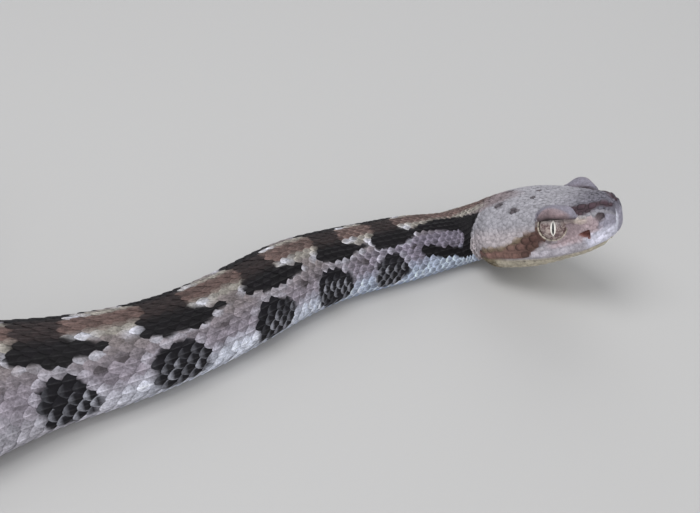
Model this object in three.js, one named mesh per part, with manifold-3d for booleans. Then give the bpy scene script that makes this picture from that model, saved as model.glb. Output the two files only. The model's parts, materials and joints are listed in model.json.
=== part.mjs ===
// A young timber rattlesnake lying on level ground: a loose flat coil of the hind body, with the
// fore body, neck and raised head reaching out of it. Lengths are in millimetres, angles in degrees.
//
// Every flesh piece is a stretch of one skin, given by skinPoint(station, turn, reach):
//   station  distance from the tip of the snout, along the line under the belly
//   turn     angle round the body, 0 on the back, positive on the snake's left, half a turn on the belly
//   reach    0 at the middle of the section, 1 on the skin
import * as THREE from "three";
import { mergeVertices } from "three/addons/utils/BufferGeometryUtils.js";
import Module from "manifold-3d";

const wasm = await Module();
wasm.setup();

// Driving dimensions.
const headLength = 24;
const ventStation = 352;
const tailTip = 380;
const rattleSegments = 3;
const segmentLength = 2.3;
const joint = 0.3; // gap between neighbouring pieces
const spineStep = 0.5;
const spineBeyond = 20; // the line of the body runs on under the rattle

// Pose. The nape is the end of the head on the floor plan; headings are the way the snake faces.
const nape = { x: 77.18, y: 27.065 };
const headPitch = 22;
const headRoll = 4;
const touchdown = 38; // the belly lies on the ground behind this station
const tailLift = 14;
const tailLiftStart = 366;
const headingStations = [
  [0, -39.5],
  [22.5, -39.5],
  [29, -5],
  [35, 21.5],
  [43, 21.2],
  [50, 20.8],
  [60, 30.5],
  [72, 43.8],
  [88, 35],
  [104, 23],
  [122, 33.2],
  [150, 26],
];
const coil = { start: 148, radius: 41, perTurn: 20.5, sway: 5, swayLength: 84 };

// Sections: [station, size] pairs, joined smoothly by through().
const halfWidths = [
  [0, 2.5],
  [0.8, 3.3],
  [2.4, 3.9],
  [5, 4.6],
  [8.9, 5.7],
  [13, 6.9],
  [18, 8.1],
  [20.8, 8.1],
  [24, 6.8],
  [27.5, 5.35],
  [34, 5.15],
  [44, 6.15],
  [55, 6.65],
  [68, 7.4],
  [84, 7.55],
  [104, 8.6],
  [124, 11.4],
  [190, 10.9],
  [262, 9.4],
  [320, 7.0],
  [ventStation, 5.4],
  [364, 4.0],
  [tailTip, 2.0],
];
const backHeights = [
  [0, 9.9],
  [0.8, 10.5],
  [2.4, 10.8],
  [5, 10.9],
  [8.9, 11.1],
  [13, 11.1],
  [18, 10.9],
  [20.8, 10.6],
  [23.4, 10.2],
  [26.5, 9.7],
  [34, 9.3],
  [44, 10.3],
  [55, 10.6],
  [68, 11.45],
  [84, 11.5],
  [104, 12.9],
  [124, 16.5],
  [190, 15.8],
  [262, 14.0],
  [320, 11.0],
  [ventStation, 9.2],
  [364, 7.0],
  [tailTip, 3.9],
];
const bellyHeights = [
  [0, 3.6],
  [0.8, 2.7],
  [2.4, 1.7],
  [6, 0.8],
  [10, -0.1],
  [15, -0.95],
  [20, -0.85],
  [25, -0.1],
  [30, 0],
  [tailTip, 0],
];
const widestShares = [
  [0, 0.42],
  [8.9, 0.36],
  [18, 0.34],
  [26.5, 0.42],
  [tailTip, 0.42],
];
const backRoundness = [
  [0, 3.2],
  [8.9, 3.3],
  [18, 2.7],
  [26.5, 2.0],
  [tailTip, 1.95],
];
const bellyRoundness = [
  [0, 2.9],
  [8.9, 3.3],
  [18, 2.9],
  [34, 2.9],
  [tailTip, 2.9],
];
// How far the round of the belly would pass the ground, of the height, and where that sets in.
const bellyFlat = { share: 0.06, from: 12, to: 40 };
const snoutLean = { depth: 0.9, length: 6 }; // the lip lies behind the top of the snout
const snoutRound = 1.45; // the front of the snout bulges this far before station 0
const snoutCap = [80, 62, 42, 20]; // rows over that bulge, as turns from its rim
const lipOverhang = { inset: 0.35, tall: 0.6, fade: 5 }; // the upper lip hangs over the lower jaw
const loreal = { station: 5.2, length: 2.6, height: 6.4, depth: 0.5, tall: 1.9 };
const mouthLine = [
  [-1, 3.5],
  [1, 3.3],
  [5, 2.4],
  [10, 1.9],
  [15, 2.2],
  [20, 2.6],
];
const mouthCorner = 20.6;

// Head features, at their station, height and size.
const eye = { station: 9.45, height: 7.1, side: 3.45, radius: 2.6, forward: 25, upward: 12 };
const eyeRim = { radius: 2.3, flare: 0.8, thick: 0.3 };
const brow = { station: 7.7, height: 10.9, side: 4.3, long: 6.8, wide: 3.0, thick: 0.95, tilt: -13 };
const nostril = { station: 1.0, height: 8.5, radius: 0.5, slant: 1.3 };
const pit = { station: 3.6, height: 5.8, radius: 0.7, slant: 1.5 };
const lipScutes = { count: 10, first: 1.9, last: 17.2, aboveMouth: 0.85, tall: 1.35, thick: 0.22 };
const chinScutes = { count: 9, first: 2.6, last: 17.0, underMouth: 0.75, tall: 1.1, thick: 0.2 };
const rostral = { height: 6.8, wide: 2.4, tall: 5.0, thick: 0.45, sunk: 0.25 };
const scuteOverlap = { long: 1.08, alternate: 0.02 }; // every other scute is a little shorter
const holeCone = { wide: 1.5, deep: 3, sides: 10 };
const balls = { scute: [7, 4], eye: [18, 12], brow: [16, 10], rostral: [12, 8], rim: [6, 24] };
// The cut between the jaws: how far it reaches past the chin, its steps and its slope at the corner.
const mouthCut = { reach: 3, step: 1.5, beforeCorner: 1, slope: 1.6, halfSpan: 14 };
// Plates of each side of the face: station, height, long, tall.
const facePlates = [
  [0.9, 6.6, 1.3, 2.2],
  [2.3, 7.7, 1.4, 2.0],
  [3.9, 8.5, 2.2, 1.3],
  [5.6, 7.3, 2.0, 1.1],
];
const crownPlates = [
  [1.3, 0.28, 1.9, 1.9],
  [2.6, 0.62, 2.0, 1.8],
  [4.6, 0.8, 2.2, 1.9],
];
const plateThick = 0.18;

// Rows of the head: close together at the snout, then at even steps up to the neck.
const snoutRows = [0, 0.25, 0.8, 1.5];
const headRows = { first: 2.4, step: 1, last: 25 };

// Body pieces and their belly scutes.
const bodyPieces = 8;
const neckStart = 26.5;
const bodyStart = 52;
const scuteLength = 4.4;
const scuteStep = { rise: 0.28, run: 0.45, from: 0.55, to: 0.8 }; // from and to across the belly
const bodySides = 20;
const headSides = 36;

// Rattle rings: outline of one ring from front to back, as shares of its half height.
const rattle = {
  lobes: [0.55, 1, 0.97, 0.72, 0.9, 0.62],
  half: 1.75,
  taper: 0.12,
  waist: 2, // the lobe after which the button rounds off
  close: 0.28,
  narrow: 0.78,
  deep: 1.25,
  sides: 18,
};

const colours = { skin: 0x8d857f, jaw: 0xcfc6b4, dark: 0x241f1f, horn: 0xa28a63, eye: 0x6f6252 };
const roughness = { skin: 0.7, horn: 0.5, eye: 0.1 };

// Fine steps of the modelling.
const probe = { along: 0.2, turn: 0.04 };
const halvings = 30;
const weldGap = 1e-4;
const hair = 0.001;

// Monotone cubic through [station, value] pairs.
function through(pairs, at) {
  const last = pairs.length - 1;
  if (at <= pairs[0][0]) return pairs[0][1];
  if (at >= pairs[last][0]) return pairs[last][1];
  const slope = (i) => (pairs[i + 1][1] - pairs[i][1]) / (pairs[i + 1][0] - pairs[i][0]);
  const tangent = (i) => {
    if (i === 0) return slope(0);
    if (i === last) return slope(last - 1);
    const before = slope(i - 1);
    const after = slope(i);
    return before * after <= 0 ? 0 : (2 * before * after) / (before + after);
  };
  const i = pairs.findIndex((pair, k) => k < last && at < pairs[k + 1][0]);
  const span = pairs[i + 1][0] - pairs[i][0];
  const t = (at - pairs[i][0]) / span;
  const rest = 1 - t;
  return (
    pairs[i][1] * rest * rest * (1 + 2 * t) +
    pairs[i + 1][1] * t * t * (3 - 2 * t) +
    span * t * rest * (tangent(i) * rest - tangent(i + 1) * t)
  );
}

const smooth = (low, high, x) => THREE.MathUtils.smoothstep(x, low, high);
const bump = (x, centre, reach) => 1 - smooth(0, 1, Math.abs(x - centre) / reach);
const radians = THREE.MathUtils.degToRad;

// Turn of the flat coil after a length of it: its radius shrinks by perTurn each full turn.
function coilTurn(length) {
  const root = Math.max(0, coil.radius ** 2 - (coil.perTurn * length) / Math.PI);
  return ((2 * Math.PI) / coil.perTurn) * (coil.radius - Math.sqrt(root));
}

function heading(station) {
  const along = Math.max(0, station - coil.start);
  const sway = radians(coil.sway) * Math.sin((2 * Math.PI * along) / coil.swayLength);
  return radians(through(headingStations, station)) - coilTurn(along) + sway;
}

function pitch(station) {
  const fore = headPitch * (1 - smooth(headLength, touchdown, station));
  return radians(fore - tailLift * smooth(tailLiftStart, tailTip, station));
}

function roll(station) {
  return radians(headRoll * (1 - smooth(headLength, touchdown, station)));
}

// Frames along the belly line: place, way forward, left and up at each step.
function makeSpine() {
  const frames = [];
  const place = new THREE.Vector3();
  for (let station = 0; station <= tailTip + spineBeyond; station += spineStep) {
    const flat = Math.cos(pitch(station));
    const forward = new THREE.Vector3(
      flat * Math.cos(heading(station)),
      flat * Math.sin(heading(station)),
      Math.sin(pitch(station)),
    );
    const left = new THREE.Vector3(0, 0, 1).cross(forward).normalize();
    left.applyAxisAngle(forward, roll(station));
    const up = new THREE.Vector3().crossVectors(forward, left);
    frames.push({ place: place.clone(), forward, left, up });
    place.addScaledVector(forward, -spineStep);
  }
  const origin = frames[headLength / spineStep].place.clone();
  const ground = frames[touchdown / spineStep].place.z;
  const shift = new THREE.Vector3(nape.x - origin.x, nape.y - origin.y, -ground);
  for (const frame of frames) frame.place.add(shift);
  return frames;
}
const spine = makeSpine();

function spineAt(station) {
  const at = THREE.MathUtils.clamp(station / spineStep, 0, spine.length - 1 - hair);
  const [low, high, share] = [spine[Math.floor(at)], spine[Math.floor(at) + 1], at % 1];
  const frame = {};
  for (const key of ["place", "forward", "left", "up"]) {
    frame[key] = low[key].clone().lerp(high[key], share);
  }
  return frame;
}

// A point given by its station, its distance to the left and its height above the belly line.
function framePoint(station, side, height) {
  const { place, forward, left, up } = spineAt(station);
  place.addScaledVector(forward, Math.max(0, -station));
  return place.addScaledVector(left, side).addScaledVector(up, height);
}

// Side and height of the skin at a station and turn.
function section(station, turn, reach = 1) {
  const half = through(halfWidths, station);
  const top = through(backHeights, station);
  const bottom = through(bellyHeights, station);
  const level = bottom + (top - bottom) * through(widestShares, station);
  const upper = Math.cos(turn) >= 0;
  const power = 2 / through(upper ? backRoundness : bellyRoundness, station);
  const across = Math.sign(Math.sin(turn)) * Math.abs(Math.sin(turn)) ** power;
  const along = Math.abs(Math.cos(turn)) ** power;
  const past = bellyFlat.share * smooth(bellyFlat.from, bellyFlat.to, station) * top;
  const under = level - bottom + past;
  const height = upper ? level + (top - level) * along : Math.max(bottom, level - under * along);
  const hollow =
    loreal.depth *
    bump(station, loreal.station, loreal.length) *
    bump(height, loreal.height, loreal.tall);
  const underLip = smooth(0, lipOverhang.tall, through(mouthLine, station) - height);
  const fade = 1 - smooth(mouthCorner - lipOverhang.fade, mouthCorner, station);
  const inset = lipOverhang.inset * underLip * fade;
  const side = half * across - Math.sign(across) * (hollow + inset);
  const middle = (top + bottom) / 2;
  return { side: side * reach, height: middle + (height - middle) * reach };
}

// How far the lean of the snout carries a point back.
function lean(station, height) {
  const snoutTop = backHeights[0][1];
  const share = (snoutTop - height) / (snoutTop - bellyHeights[0][1]);
  return snoutLean.depth * (1 - smooth(0, snoutLean.length, station)) * share;
}

function skinPoint(station, turn, reach = 1, proud = 0) {
  const { side, height } = section(station, turn, reach);
  return framePoint(station + lean(station, height), side, height + proud);
}

// Turn on one side of the head where the skin is at a height above the belly line.
function turnAtHeight(station, height) {
  let [low, high] = [0, Math.PI];
  for (let i = 0; i < halvings; i++) {
    const middle = (low + high) / 2;
    if (section(station, middle).height > height) low = middle;
    else high = middle;
  }
  return (low + high) / 2;
}

// Matrix at a skin point: x forward along the body, y across it, z out of the skin.
function skinFrame(station, turn) {
  const centre = skinPoint(station, turn);
  const forward = skinPoint(station - probe.along, turn).sub(centre).normalize();
  const across = skinPoint(station, turn + probe.turn).sub(centre);
  const out = new THREE.Vector3().crossVectors(forward, across).normalize();
  const inside = skinPoint(station, turn, 0.5);
  if (out.dot(centre.clone().sub(inside)) < 0) out.negate();
  const side = new THREE.Vector3().crossVectors(out, forward).normalize();
  return new THREE.Matrix4().makeBasis(forward, side, out).setPosition(centre);
}

// Matrix of the straight head: x back along the head, y up, z left, from under the snout.
function headFrame() {
  const { place, forward, left, up } = spineAt(0);
  return new THREE.Matrix4().makeBasis(forward.negate(), up, left).setPosition(place);
}

// Closed solid of a geometry, whichever way round its faces were.
function solidOf(geometry) {
  const bare = geometry.index ? geometry.toNonIndexed() : geometry.clone();
  bare.deleteAttribute("normal");
  bare.deleteAttribute("uv");
  const merged = mergeVertices(bare, weldGap);
  const vertProperties = new Float32Array(merged.attributes.position.array);
  const triVerts = new Uint32Array(merged.index.array);
  const made = new wasm.Manifold(new wasm.Mesh({ numProp: 3, vertProperties, triVerts }));
  if (made.volume() > 0) return made;
  for (let i = 0; i < triVerts.length; i += 3) {
    [triVerts[i + 1], triVerts[i + 2]] = [triVerts[i + 2], triVerts[i + 1]];
  }
  return new wasm.Manifold(new wasm.Mesh({ numProp: 3, vertProperties, triVerts }));
}

function geometryOf(solid) {
  const bodies = solid.decompose().sort((a, b) => b.volume() - a.volume());
  const mesh = bodies[0].getMesh();
  const geometry = new THREE.BufferGeometry();
  geometry.setAttribute("position", new THREE.BufferAttribute(mesh.vertProperties, 3));
  geometry.setIndex(new THREE.BufferAttribute(mesh.triVerts, 1));
  return geometry;
}

const rattlesnake = new THREE.Group();

function addPiece(name, solid, colour, rough = roughness.skin) {
  const material = new THREE.MeshStandardMaterial({ color: colour, roughness: rough, metalness: 0 });
  const mesh = new THREE.Mesh(geometryOf(solid), material);
  mesh.name = name;
  rattlesnake.add(mesh);
}

// A stretch of the skin: a cylinder whose rings are carried to the given rows. A row has a station,
// the rise of the belly there, and a reach under 1 where the snout closes.
function stretch(rows, sides) {
  const geometry = new THREE.CylinderGeometry(1, 1, 1, sides, rows.length - 1);
  const position = geometry.attributes.position;
  const facet = (2 * Math.PI) / sides;
  for (let i = 0; i < position.count; i++) {
    const [x, z] = [position.getX(i), position.getZ(i)];
    const row = rows[Math.round((0.5 - position.getY(i)) * (rows.length - 1))];
    const turn = facet * Math.round(Math.atan2(x, z) / facet);
    const isOuter = Math.round(Math.hypot(x, z)); // 0 in the middle of an end, 1 on the skin
    const rise = row.rise * smooth(scuteStep.from, scuteStep.to, -Math.cos(turn)) * isOuter;
    const point = skinPoint(row.station, turn, row.reach * isOuter, rise);
    position.setXYZ(i, point.x, point.y, point.z);
  }
  return solidOf(geometry);
}

function makeRow(station, rise = 0, reach = 1) {
  return { station, rise, reach };
}

// Rows of a body piece: the hind edge of each belly scute stands proud of the next one's front.
function scuteRows(from, to) {
  const rows = [makeRow(from)];
  const count = Math.max(1, Math.round((to - from) / scuteLength));
  for (let i = 1; i < count; i++) {
    const edge = from + ((to - from) * i) / count;
    rows.push(makeRow(edge));
    rows.push(makeRow(edge + scuteStep.run, scuteStep.rise));
  }
  rows.push(makeRow(to));
  return rows;
}

// A scute: a flattened ball lying on the skin.
function scute(station, turn, long, wide, thick) {
  const ball = new THREE.SphereGeometry(0.5, ...balls.scute);
  ball.scale(long, wide, thick * 2);
  return solidOf(ball.applyMatrix4(skinFrame(station, turn)));
}

// A row of scutes along both lips, following the mouth.
function scuteRow(row, offset) {
  const made = [];
  const long = (row.last - row.first) / (row.count - 1);
  for (let i = 0; i < row.count; i++) {
    const station = row.first + i * long;
    const turn = turnAtHeight(station, through(mouthLine, station) + offset);
    const size = long * (scuteOverlap.long - scuteOverlap.alternate * (i % 2));
    for (const side of [1, -1]) made.push(scute(station, side * turn, size, row.tall, row.thick));
  }
  return made;
}

// A pit sunk in the skin: a cone with its base a little outside.
function hole({ station, height, radius, slant }, side) {
  const cone = new THREE.ConeGeometry(radius * holeCone.wide, radius * holeCone.deep, holeCone.sides);
  cone.rotateX(-Math.PI / 2);
  cone.scale(slant, 1, 1);
  return solidOf(cone.applyMatrix4(skinFrame(station, side * turnAtHeight(station, height))));
}

// Brow shield over an eye: a flattened ball, tilted outwards.
function browShield(side) {
  const ball = new THREE.SphereGeometry(0.5, ...balls.brow);
  ball.scale(brow.long, brow.wide, brow.thick * 2);
  const { forward, left, up } = spineAt(brow.station);
  const place = framePoint(brow.station, side * brow.side, brow.height);
  const tilt = new THREE.Matrix4().makeRotationX(radians(side * brow.tilt));
  const frame = new THREE.Matrix4().makeBasis(forward, left, up).setPosition(place);
  return solidOf(ball.applyMatrix4(tilt).applyMatrix4(frame));
}

function eyeball(side, radius) {
  const place = framePoint(eye.station, side * eye.side, eye.height);
  const ball = new THREE.SphereGeometry(radius, ...balls.eye);
  return solidOf(ball.translate(place.x, place.y, place.z));
}

// The lower jaw's share of the head: under the mouth line and in front of the mouth's corner.
// Each face is moved by part, out of the lower jaw or into it.
function underMouth(part) {
  const { reach, step, beforeCorner, slope, halfSpan } = mouthCut;
  const shape = new THREE.Shape();
  shape.moveTo(-reach, -reach);
  for (let station = -reach; station < mouthCorner - beforeCorner; station += step) {
    shape.lineTo(station, through(mouthLine, station) + part);
  }
  shape.lineTo(mouthCorner + part, through(mouthLine, mouthCorner) + part);
  shape.lineTo(mouthCorner + slope + part, -reach);
  const block = new THREE.ExtrudeGeometry(shape, { depth: 2 * halfSpan, bevelEnabled: false });
  return solidOf(block.translate(0, 0, -halfSpan).applyMatrix4(headFrame()));
}

// Plates of the face and of the top of the snout, on both sides.
function headPlates() {
  const made = [];
  for (const side of [1, -1]) {
    for (const [station, height, long, tall] of facePlates) {
      made.push(scute(station, side * turnAtHeight(station, height), long, tall, plateThick));
    }
    for (const [station, turn, long, wide] of crownPlates) {
      made.push(scute(station, side * turn, long, wide, plateThick));
    }
  }
  return made;
}

// The plate at the tip of the snout, leaning with it.
function rostralPlate() {
  const ball = new THREE.SphereGeometry(0.5, ...balls.rostral);
  ball.scale(rostral.thick * 2, rostral.wide, rostral.tall);
  ball.rotateY(Math.atan2(snoutLean.depth, backHeights[0][1] - bellyHeights[0][1]));
  const { forward, left, up } = spineAt(0);
  const front = lean(0, rostral.height) - snoutRound + rostral.sunk;
  const place = framePoint(front, 0, rostral.height);
  return solidOf(ball.applyMatrix4(new THREE.Matrix4().makeBasis(forward, left, up).setPosition(place)));
}

// Matrix at an eye's rim: y out along the way the eye looks.
function rimFrame(side) {
  const { forward, left, up } = spineAt(eye.station);
  const [ahead, rise] = [radians(eye.forward), radians(eye.upward)];
  const out = left.multiplyScalar(side * Math.cos(ahead) * Math.cos(rise));
  out.addScaledVector(forward, Math.sin(ahead) * Math.cos(rise)).addScaledVector(up, Math.sin(rise));
  const depth = Math.sqrt(eye.radius ** 2 - eyeRim.radius ** 2);
  const place = framePoint(eye.station, side * eye.side, eye.height).addScaledVector(out, depth);
  const turned = new THREE.Quaternion().setFromUnitVectors(new THREE.Vector3(0, 1, 0), out);
  return new THREE.Matrix4().makeRotationFromQuaternion(turned).setPosition(place);
}

// What clears the view of an eye: a cone that opens outwards from its rim.
function eyeOpening(side) {
  const { radius, flare } = eyeRim;
  const cone = new THREE.CylinderGeometry(radius + 2 * flare, radius, 2 * flare, balls.rim[1]);
  return solidOf(cone.translate(0, flare, 0).applyMatrix4(rimFrame(side)));
}

// Ring of small scales round an eye.
function eyeRing(side) {
  const ring = new THREE.TorusGeometry(eyeRim.radius + eyeRim.thick, eyeRim.thick, ...balls.rim);
  return solidOf(ring.rotateX(Math.PI / 2).applyMatrix4(rimFrame(side)));
}

function wholeHead() {
  const rows = snoutCap.map((turn) => {
    return makeRow(-snoutRound * Math.sin(radians(turn)), 0, Math.cos(radians(turn)));
  });
  for (const station of snoutRows) rows.push(makeRow(station));
  for (let station = headRows.first; station < headRows.last; station += headRows.step) {
    rows.push(makeRow(station));
  }
  rows.push(makeRow(neckStart - joint / 2));
  let skull = stretch(rows, headSides);
  for (const side of [1, -1]) skull = skull.subtract(eyeOpening(side));
  for (const side of [1, -1]) skull = skull.add(eyeRing(side)).add(browShield(side));
  for (const plate of headPlates()) skull = skull.add(plate);
  for (const side of [1, -1]) skull = skull.subtract(eyeball(side, eye.radius + joint));
  for (const side of [1, -1]) skull = skull.subtract(hole(nostril, side));
  for (const side of [1, -1]) skull = skull.subtract(hole(pit, side));
  return skull.add(rostralPlate());
}

function addHead() {
  const whole = wholeHead();
  const wide = underMouth(joint / 2);
  const narrow = underMouth(-joint / 2);
  let skull = whole.subtract(wide);
  let jaw = whole.intersect(narrow);
  for (const piece of scuteRow(lipScutes, lipScutes.aboveMouth)) skull = skull.add(piece.subtract(wide));
  for (const piece of scuteRow(chinScutes, -chinScutes.underMouth)) {
    jaw = jaw.add(piece.intersect(narrow));
  }
  addPiece("head", skull, colours.skin);
  addPiece("lower_jaw", jaw, colours.jaw);
  addPiece("eye_left", eyeball(1, eye.radius), colours.eye, roughness.eye);
  addPiece("eye_right", eyeball(-1, eye.radius), colours.eye, roughness.eye);
}

function addBody() {
  const half = joint / 2;
  addPiece("neck", stretch(scuteRows(neckStart + half, bodyStart - half), bodySides), colours.skin);
  const length = (ventStation - bodyStart) / bodyPieces;
  for (let i = 0; i < bodyPieces; i++) {
    const from = bodyStart + i * length;
    const rows = scuteRows(from + half, from + length - half);
    addPiece(`body_${i + 1}`, stretch(rows, bodySides), colours.skin);
  }
  addPiece("tail", stretch(scuteRows(ventStation + half, tailTip), bodySides), colours.dark);
}

// Outline of a rattle ring, from the axis out and back to it. The button rounds off to its end.
function ringOutline(half, isButton) {
  const { lobes, waist, close } = rattle;
  const step = (segmentLength - joint) / (lobes.length - 1);
  const outline = lobes.map((share, i) => {
    const width = isButton && i > waist ? 1 - close * (i - waist) : share;
    return new THREE.Vector2(half * width, i * step);
  });
  return [new THREE.Vector2(0, 0), ...outline, new THREE.Vector2(0, segmentLength - joint)];
}

// Rattle: loose horny rings, each lobed above and below a groove, the last one a round button.
function addRattle() {
  const { forward, left, up } = spineAt(tailTip);
  const axis = forward.clone().negate();
  for (let k = 0; k < rattleSegments; k++) {
    const outline = ringOutline(rattle.half - rattle.taper * k, k === rattleSegments - 1);
    const ring = new THREE.LatheGeometry(outline, rattle.sides);
    ring.scale(rattle.narrow, 1, rattle.deep); // narrow from side to side, deep from back to belly
    const place = framePoint(tailTip, 0, through(backHeights, tailTip) / 2);
    place.addScaledVector(axis, joint + k * segmentLength);
    const frame = new THREE.Matrix4().makeBasis(left, axis, up).setPosition(place);
    addPiece(`rattle_${k + 1}`, solidOf(ring.applyMatrix4(frame)), colours.horn, roughness.horn);
  }
}

addHead();
addBody();
addRattle();

export default rattlesnake;
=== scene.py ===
# A young timber rattlesnake lying in a loose coil, dressed with skin, scales, eyes and rattle.
# Lengths are in millimetres until a mesh is made.
import json
import math

import bmesh
import bpy
import numpy as np
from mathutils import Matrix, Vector

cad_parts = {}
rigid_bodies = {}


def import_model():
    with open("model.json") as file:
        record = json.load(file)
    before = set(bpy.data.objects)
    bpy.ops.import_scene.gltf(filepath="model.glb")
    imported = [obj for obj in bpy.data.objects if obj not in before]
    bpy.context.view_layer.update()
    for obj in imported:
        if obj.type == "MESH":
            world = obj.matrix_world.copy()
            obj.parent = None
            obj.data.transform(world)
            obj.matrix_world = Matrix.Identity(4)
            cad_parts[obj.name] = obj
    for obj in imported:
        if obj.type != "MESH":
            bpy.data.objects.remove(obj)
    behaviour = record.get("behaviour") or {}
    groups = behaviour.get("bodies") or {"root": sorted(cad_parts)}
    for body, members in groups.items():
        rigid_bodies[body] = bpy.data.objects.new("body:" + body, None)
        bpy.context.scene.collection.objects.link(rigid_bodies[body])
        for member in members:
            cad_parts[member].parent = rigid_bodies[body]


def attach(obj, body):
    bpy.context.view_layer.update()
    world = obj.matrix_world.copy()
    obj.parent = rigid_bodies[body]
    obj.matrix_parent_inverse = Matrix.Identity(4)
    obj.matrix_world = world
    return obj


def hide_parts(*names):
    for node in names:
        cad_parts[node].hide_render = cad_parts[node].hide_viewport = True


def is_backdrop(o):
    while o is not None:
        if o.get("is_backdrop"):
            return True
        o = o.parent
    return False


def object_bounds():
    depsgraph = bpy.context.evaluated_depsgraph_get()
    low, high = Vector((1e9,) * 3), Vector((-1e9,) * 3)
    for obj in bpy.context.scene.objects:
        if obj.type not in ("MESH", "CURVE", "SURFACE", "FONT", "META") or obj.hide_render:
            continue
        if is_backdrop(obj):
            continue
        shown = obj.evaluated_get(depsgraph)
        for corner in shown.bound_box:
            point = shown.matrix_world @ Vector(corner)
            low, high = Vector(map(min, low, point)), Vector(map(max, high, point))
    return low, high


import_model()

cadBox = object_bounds()
mm = 0.001
chance = np.random.default_rng(7)

# The body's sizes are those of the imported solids: (station, size) pairs joined smoothly.
body = {
    "headLength": 24,
    "vent": 352,
    "tailTip": 380,
    "spineStep": 0.5,
    "nape": (77.18, 27.065),
    "headPitch": 22,
    "headRoll": 4,
    "touchdown": 38,
    "tailLift": 14,
    "tailLiftStart": 366,
    "headings": [
        (0, -39.5), (22.5, -39.5), (29, -5), (35, 21.5), (43, 21.2), (50, 20.8),
        (60, 30.5), (72, 43.8), (88, 35), (104, 23), (122, 33.2), (150, 26),
    ],
    "coil": {"start": 148, "radius": 41, "perTurn": 20.5, "sway": 5, "swayLength": 84},
    "halfWidths": [
        (0, 2.5), (0.8, 3.3), (2.4, 3.9), (5, 4.6), (8.9, 5.7), (13, 6.9), (18, 8.1), (20.8, 8.1),
        (24, 6.8), (27.5, 5.35), (34, 5.15), (44, 6.15), (55, 6.65), (68, 7.4), (84, 7.55), (104, 8.6),
        (124, 11.4), (190, 10.9), (262, 9.4), (320, 7.0), (352, 5.4), (364, 4.0), (380, 2.0),
    ],
    "backHeights": [
        (0, 9.9), (0.8, 10.5), (2.4, 10.8), (5, 10.9), (8.9, 11.1), (13, 11.1), (18, 10.9),
        (20.8, 10.6), (23.4, 10.2), (26.5, 9.7), (34, 9.3), (44, 10.3), (55, 10.6), (68, 11.45),
        (84, 11.5), (104, 12.9), (124, 16.5), (190, 15.8), (262, 14.0), (320, 11.0), (352, 9.2),
        (364, 7.0), (380, 3.9),
    ],
    "bellyHeights": [
        (0, 3.6), (0.8, 2.7), (2.4, 1.7), (6, 0.8), (10, -0.1), (15, -0.95), (20, -0.85), (25, -0.1),
        (30, 0), (380, 0),
    ],
    "widestShares": [(0, 0.42), (8.9, 0.36), (18, 0.34), (26.5, 0.42), (380, 0.42)],
    "backRoundness": [(0, 3.2), (8.9, 3.3), (18, 2.7), (26.5, 2.0), (380, 1.95)],
    "bellyRoundness": [(0, 2.9), (8.9, 3.3), (18, 2.9), (34, 2.9), (380, 2.9)],
    "bellyFlatShare": 0.06,
    "bellyFlatFrom": (12, 40),
    "snoutLean": 0.9,
    "leanEnd": 6,
    "snoutRound": 1.45,  # how far the front of the snout bulges
    "snoutCap": 3.0,  # stations before 0 that cover the front of the snout
    "tailCap": 2.0,
}
loreal = {"station": 5.2, "length": 2.6, "height": 6.4, "depth": 0.5, "tall": 1.9}
mouth = {
    "line": [(-1, 3.5), (1, 3.3), (5, 2.4), (10, 1.9), (15, 2.2), (20, 2.6)],
    "corner": 20.6,
    "inset": 0.35,
    "groove": 0.42,
    "grooveHalf": 0.34,
}
eye = {
    "station": 9.45, "height": 7.1, "side": 3.45, "radius": 2.6,
    "forward": 25, "upward": 12, "discRadius": 2.3,
    "under": 0.2,  # how far the skin lies under the ball
    "lip": (0.32, 0.4),  # how tall and wide the fold round the eye is
    "fold": 1.6,  # how far from the disc the skin is bent
    "clear": 0.75,  # no granules this near to the disc
}
eyeRim = math.sqrt(eye["radius"] ** 2 - eye["discRadius"] ** 2)  # height of the ball at the edge of its disc
nostril = {"station": 0.9, "height": 8.4, "long": 0.6, "tall": 0.78, "depth": 0.8, "wall": (0.25, 1.1)}
pit = {
    "outline": [(4.75, 5.7), (2.75, 6.5), (2.95, 4.95)],  # stations and heights
    "depth": 1.1, "wall": (-0.1, 0.45),
}


def through(pairs, at):  # monotone cubic through the pairs
    x, y = np.array(pairs, float).T
    slope = np.diff(y) / np.diff(x)
    before, after = slope[:-1], slope[1:]
    turns = before * after <= 0
    total = np.where(turns, 1, before + after)
    middle = np.where(turns, 0, 2 * before * after / np.where(total == 0, 1, total))
    tangent = np.concatenate([slope[:1], middle, slope[-1:]])
    at = np.clip(at, x[0], x[-1])
    i = np.clip(np.searchsorted(x, at, side="right") - 1, 0, len(x) - 2)
    span = x[i + 1] - x[i]
    t = (at - x[i]) / span
    rest = 1 - t
    return (
        y[i] * rest**2 * (1 + 2 * t)
        + y[i + 1] * t**2 * (3 - 2 * t)
        + span * t * rest * (tangent[i] * rest - tangent[i + 1] * t)
    )


def smooth(low, high, x):
    t = np.clip((x - low) / (high - low), 0, 1)
    return t * t * (3 - 2 * t)


def bump(x, centre, reach):
    return 1 - smooth(0, 1, np.abs(x - centre) / reach)


def insideBy(x, y, outline):  # how far a point is inside an outline, less than 0 outside
    outline = np.array(outline, float)
    far = np.full(np.shape(x), 1e9)
    inside = np.zeros(np.shape(x), bool)
    for (x1, y1), (x2, y2) in zip(outline, np.roll(outline, -1, 0)):
        along = np.clip(((x - x1) * (x2 - x1) + (y - y1) * (y2 - y1)) / ((x2 - x1) ** 2 + (y2 - y1) ** 2), 0, 1)
        far = np.minimum(far, np.hypot(x - x1 - along * (x2 - x1), y - y1 - along * (y2 - y1)))
        if y1 != y2:
            crosses = (y1 > y) != (y2 > y)
            inside ^= crosses & (x < (x2 - x1) * (y - y1) / (y2 - y1) + x1)
    return np.where(inside, far, -far)


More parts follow.
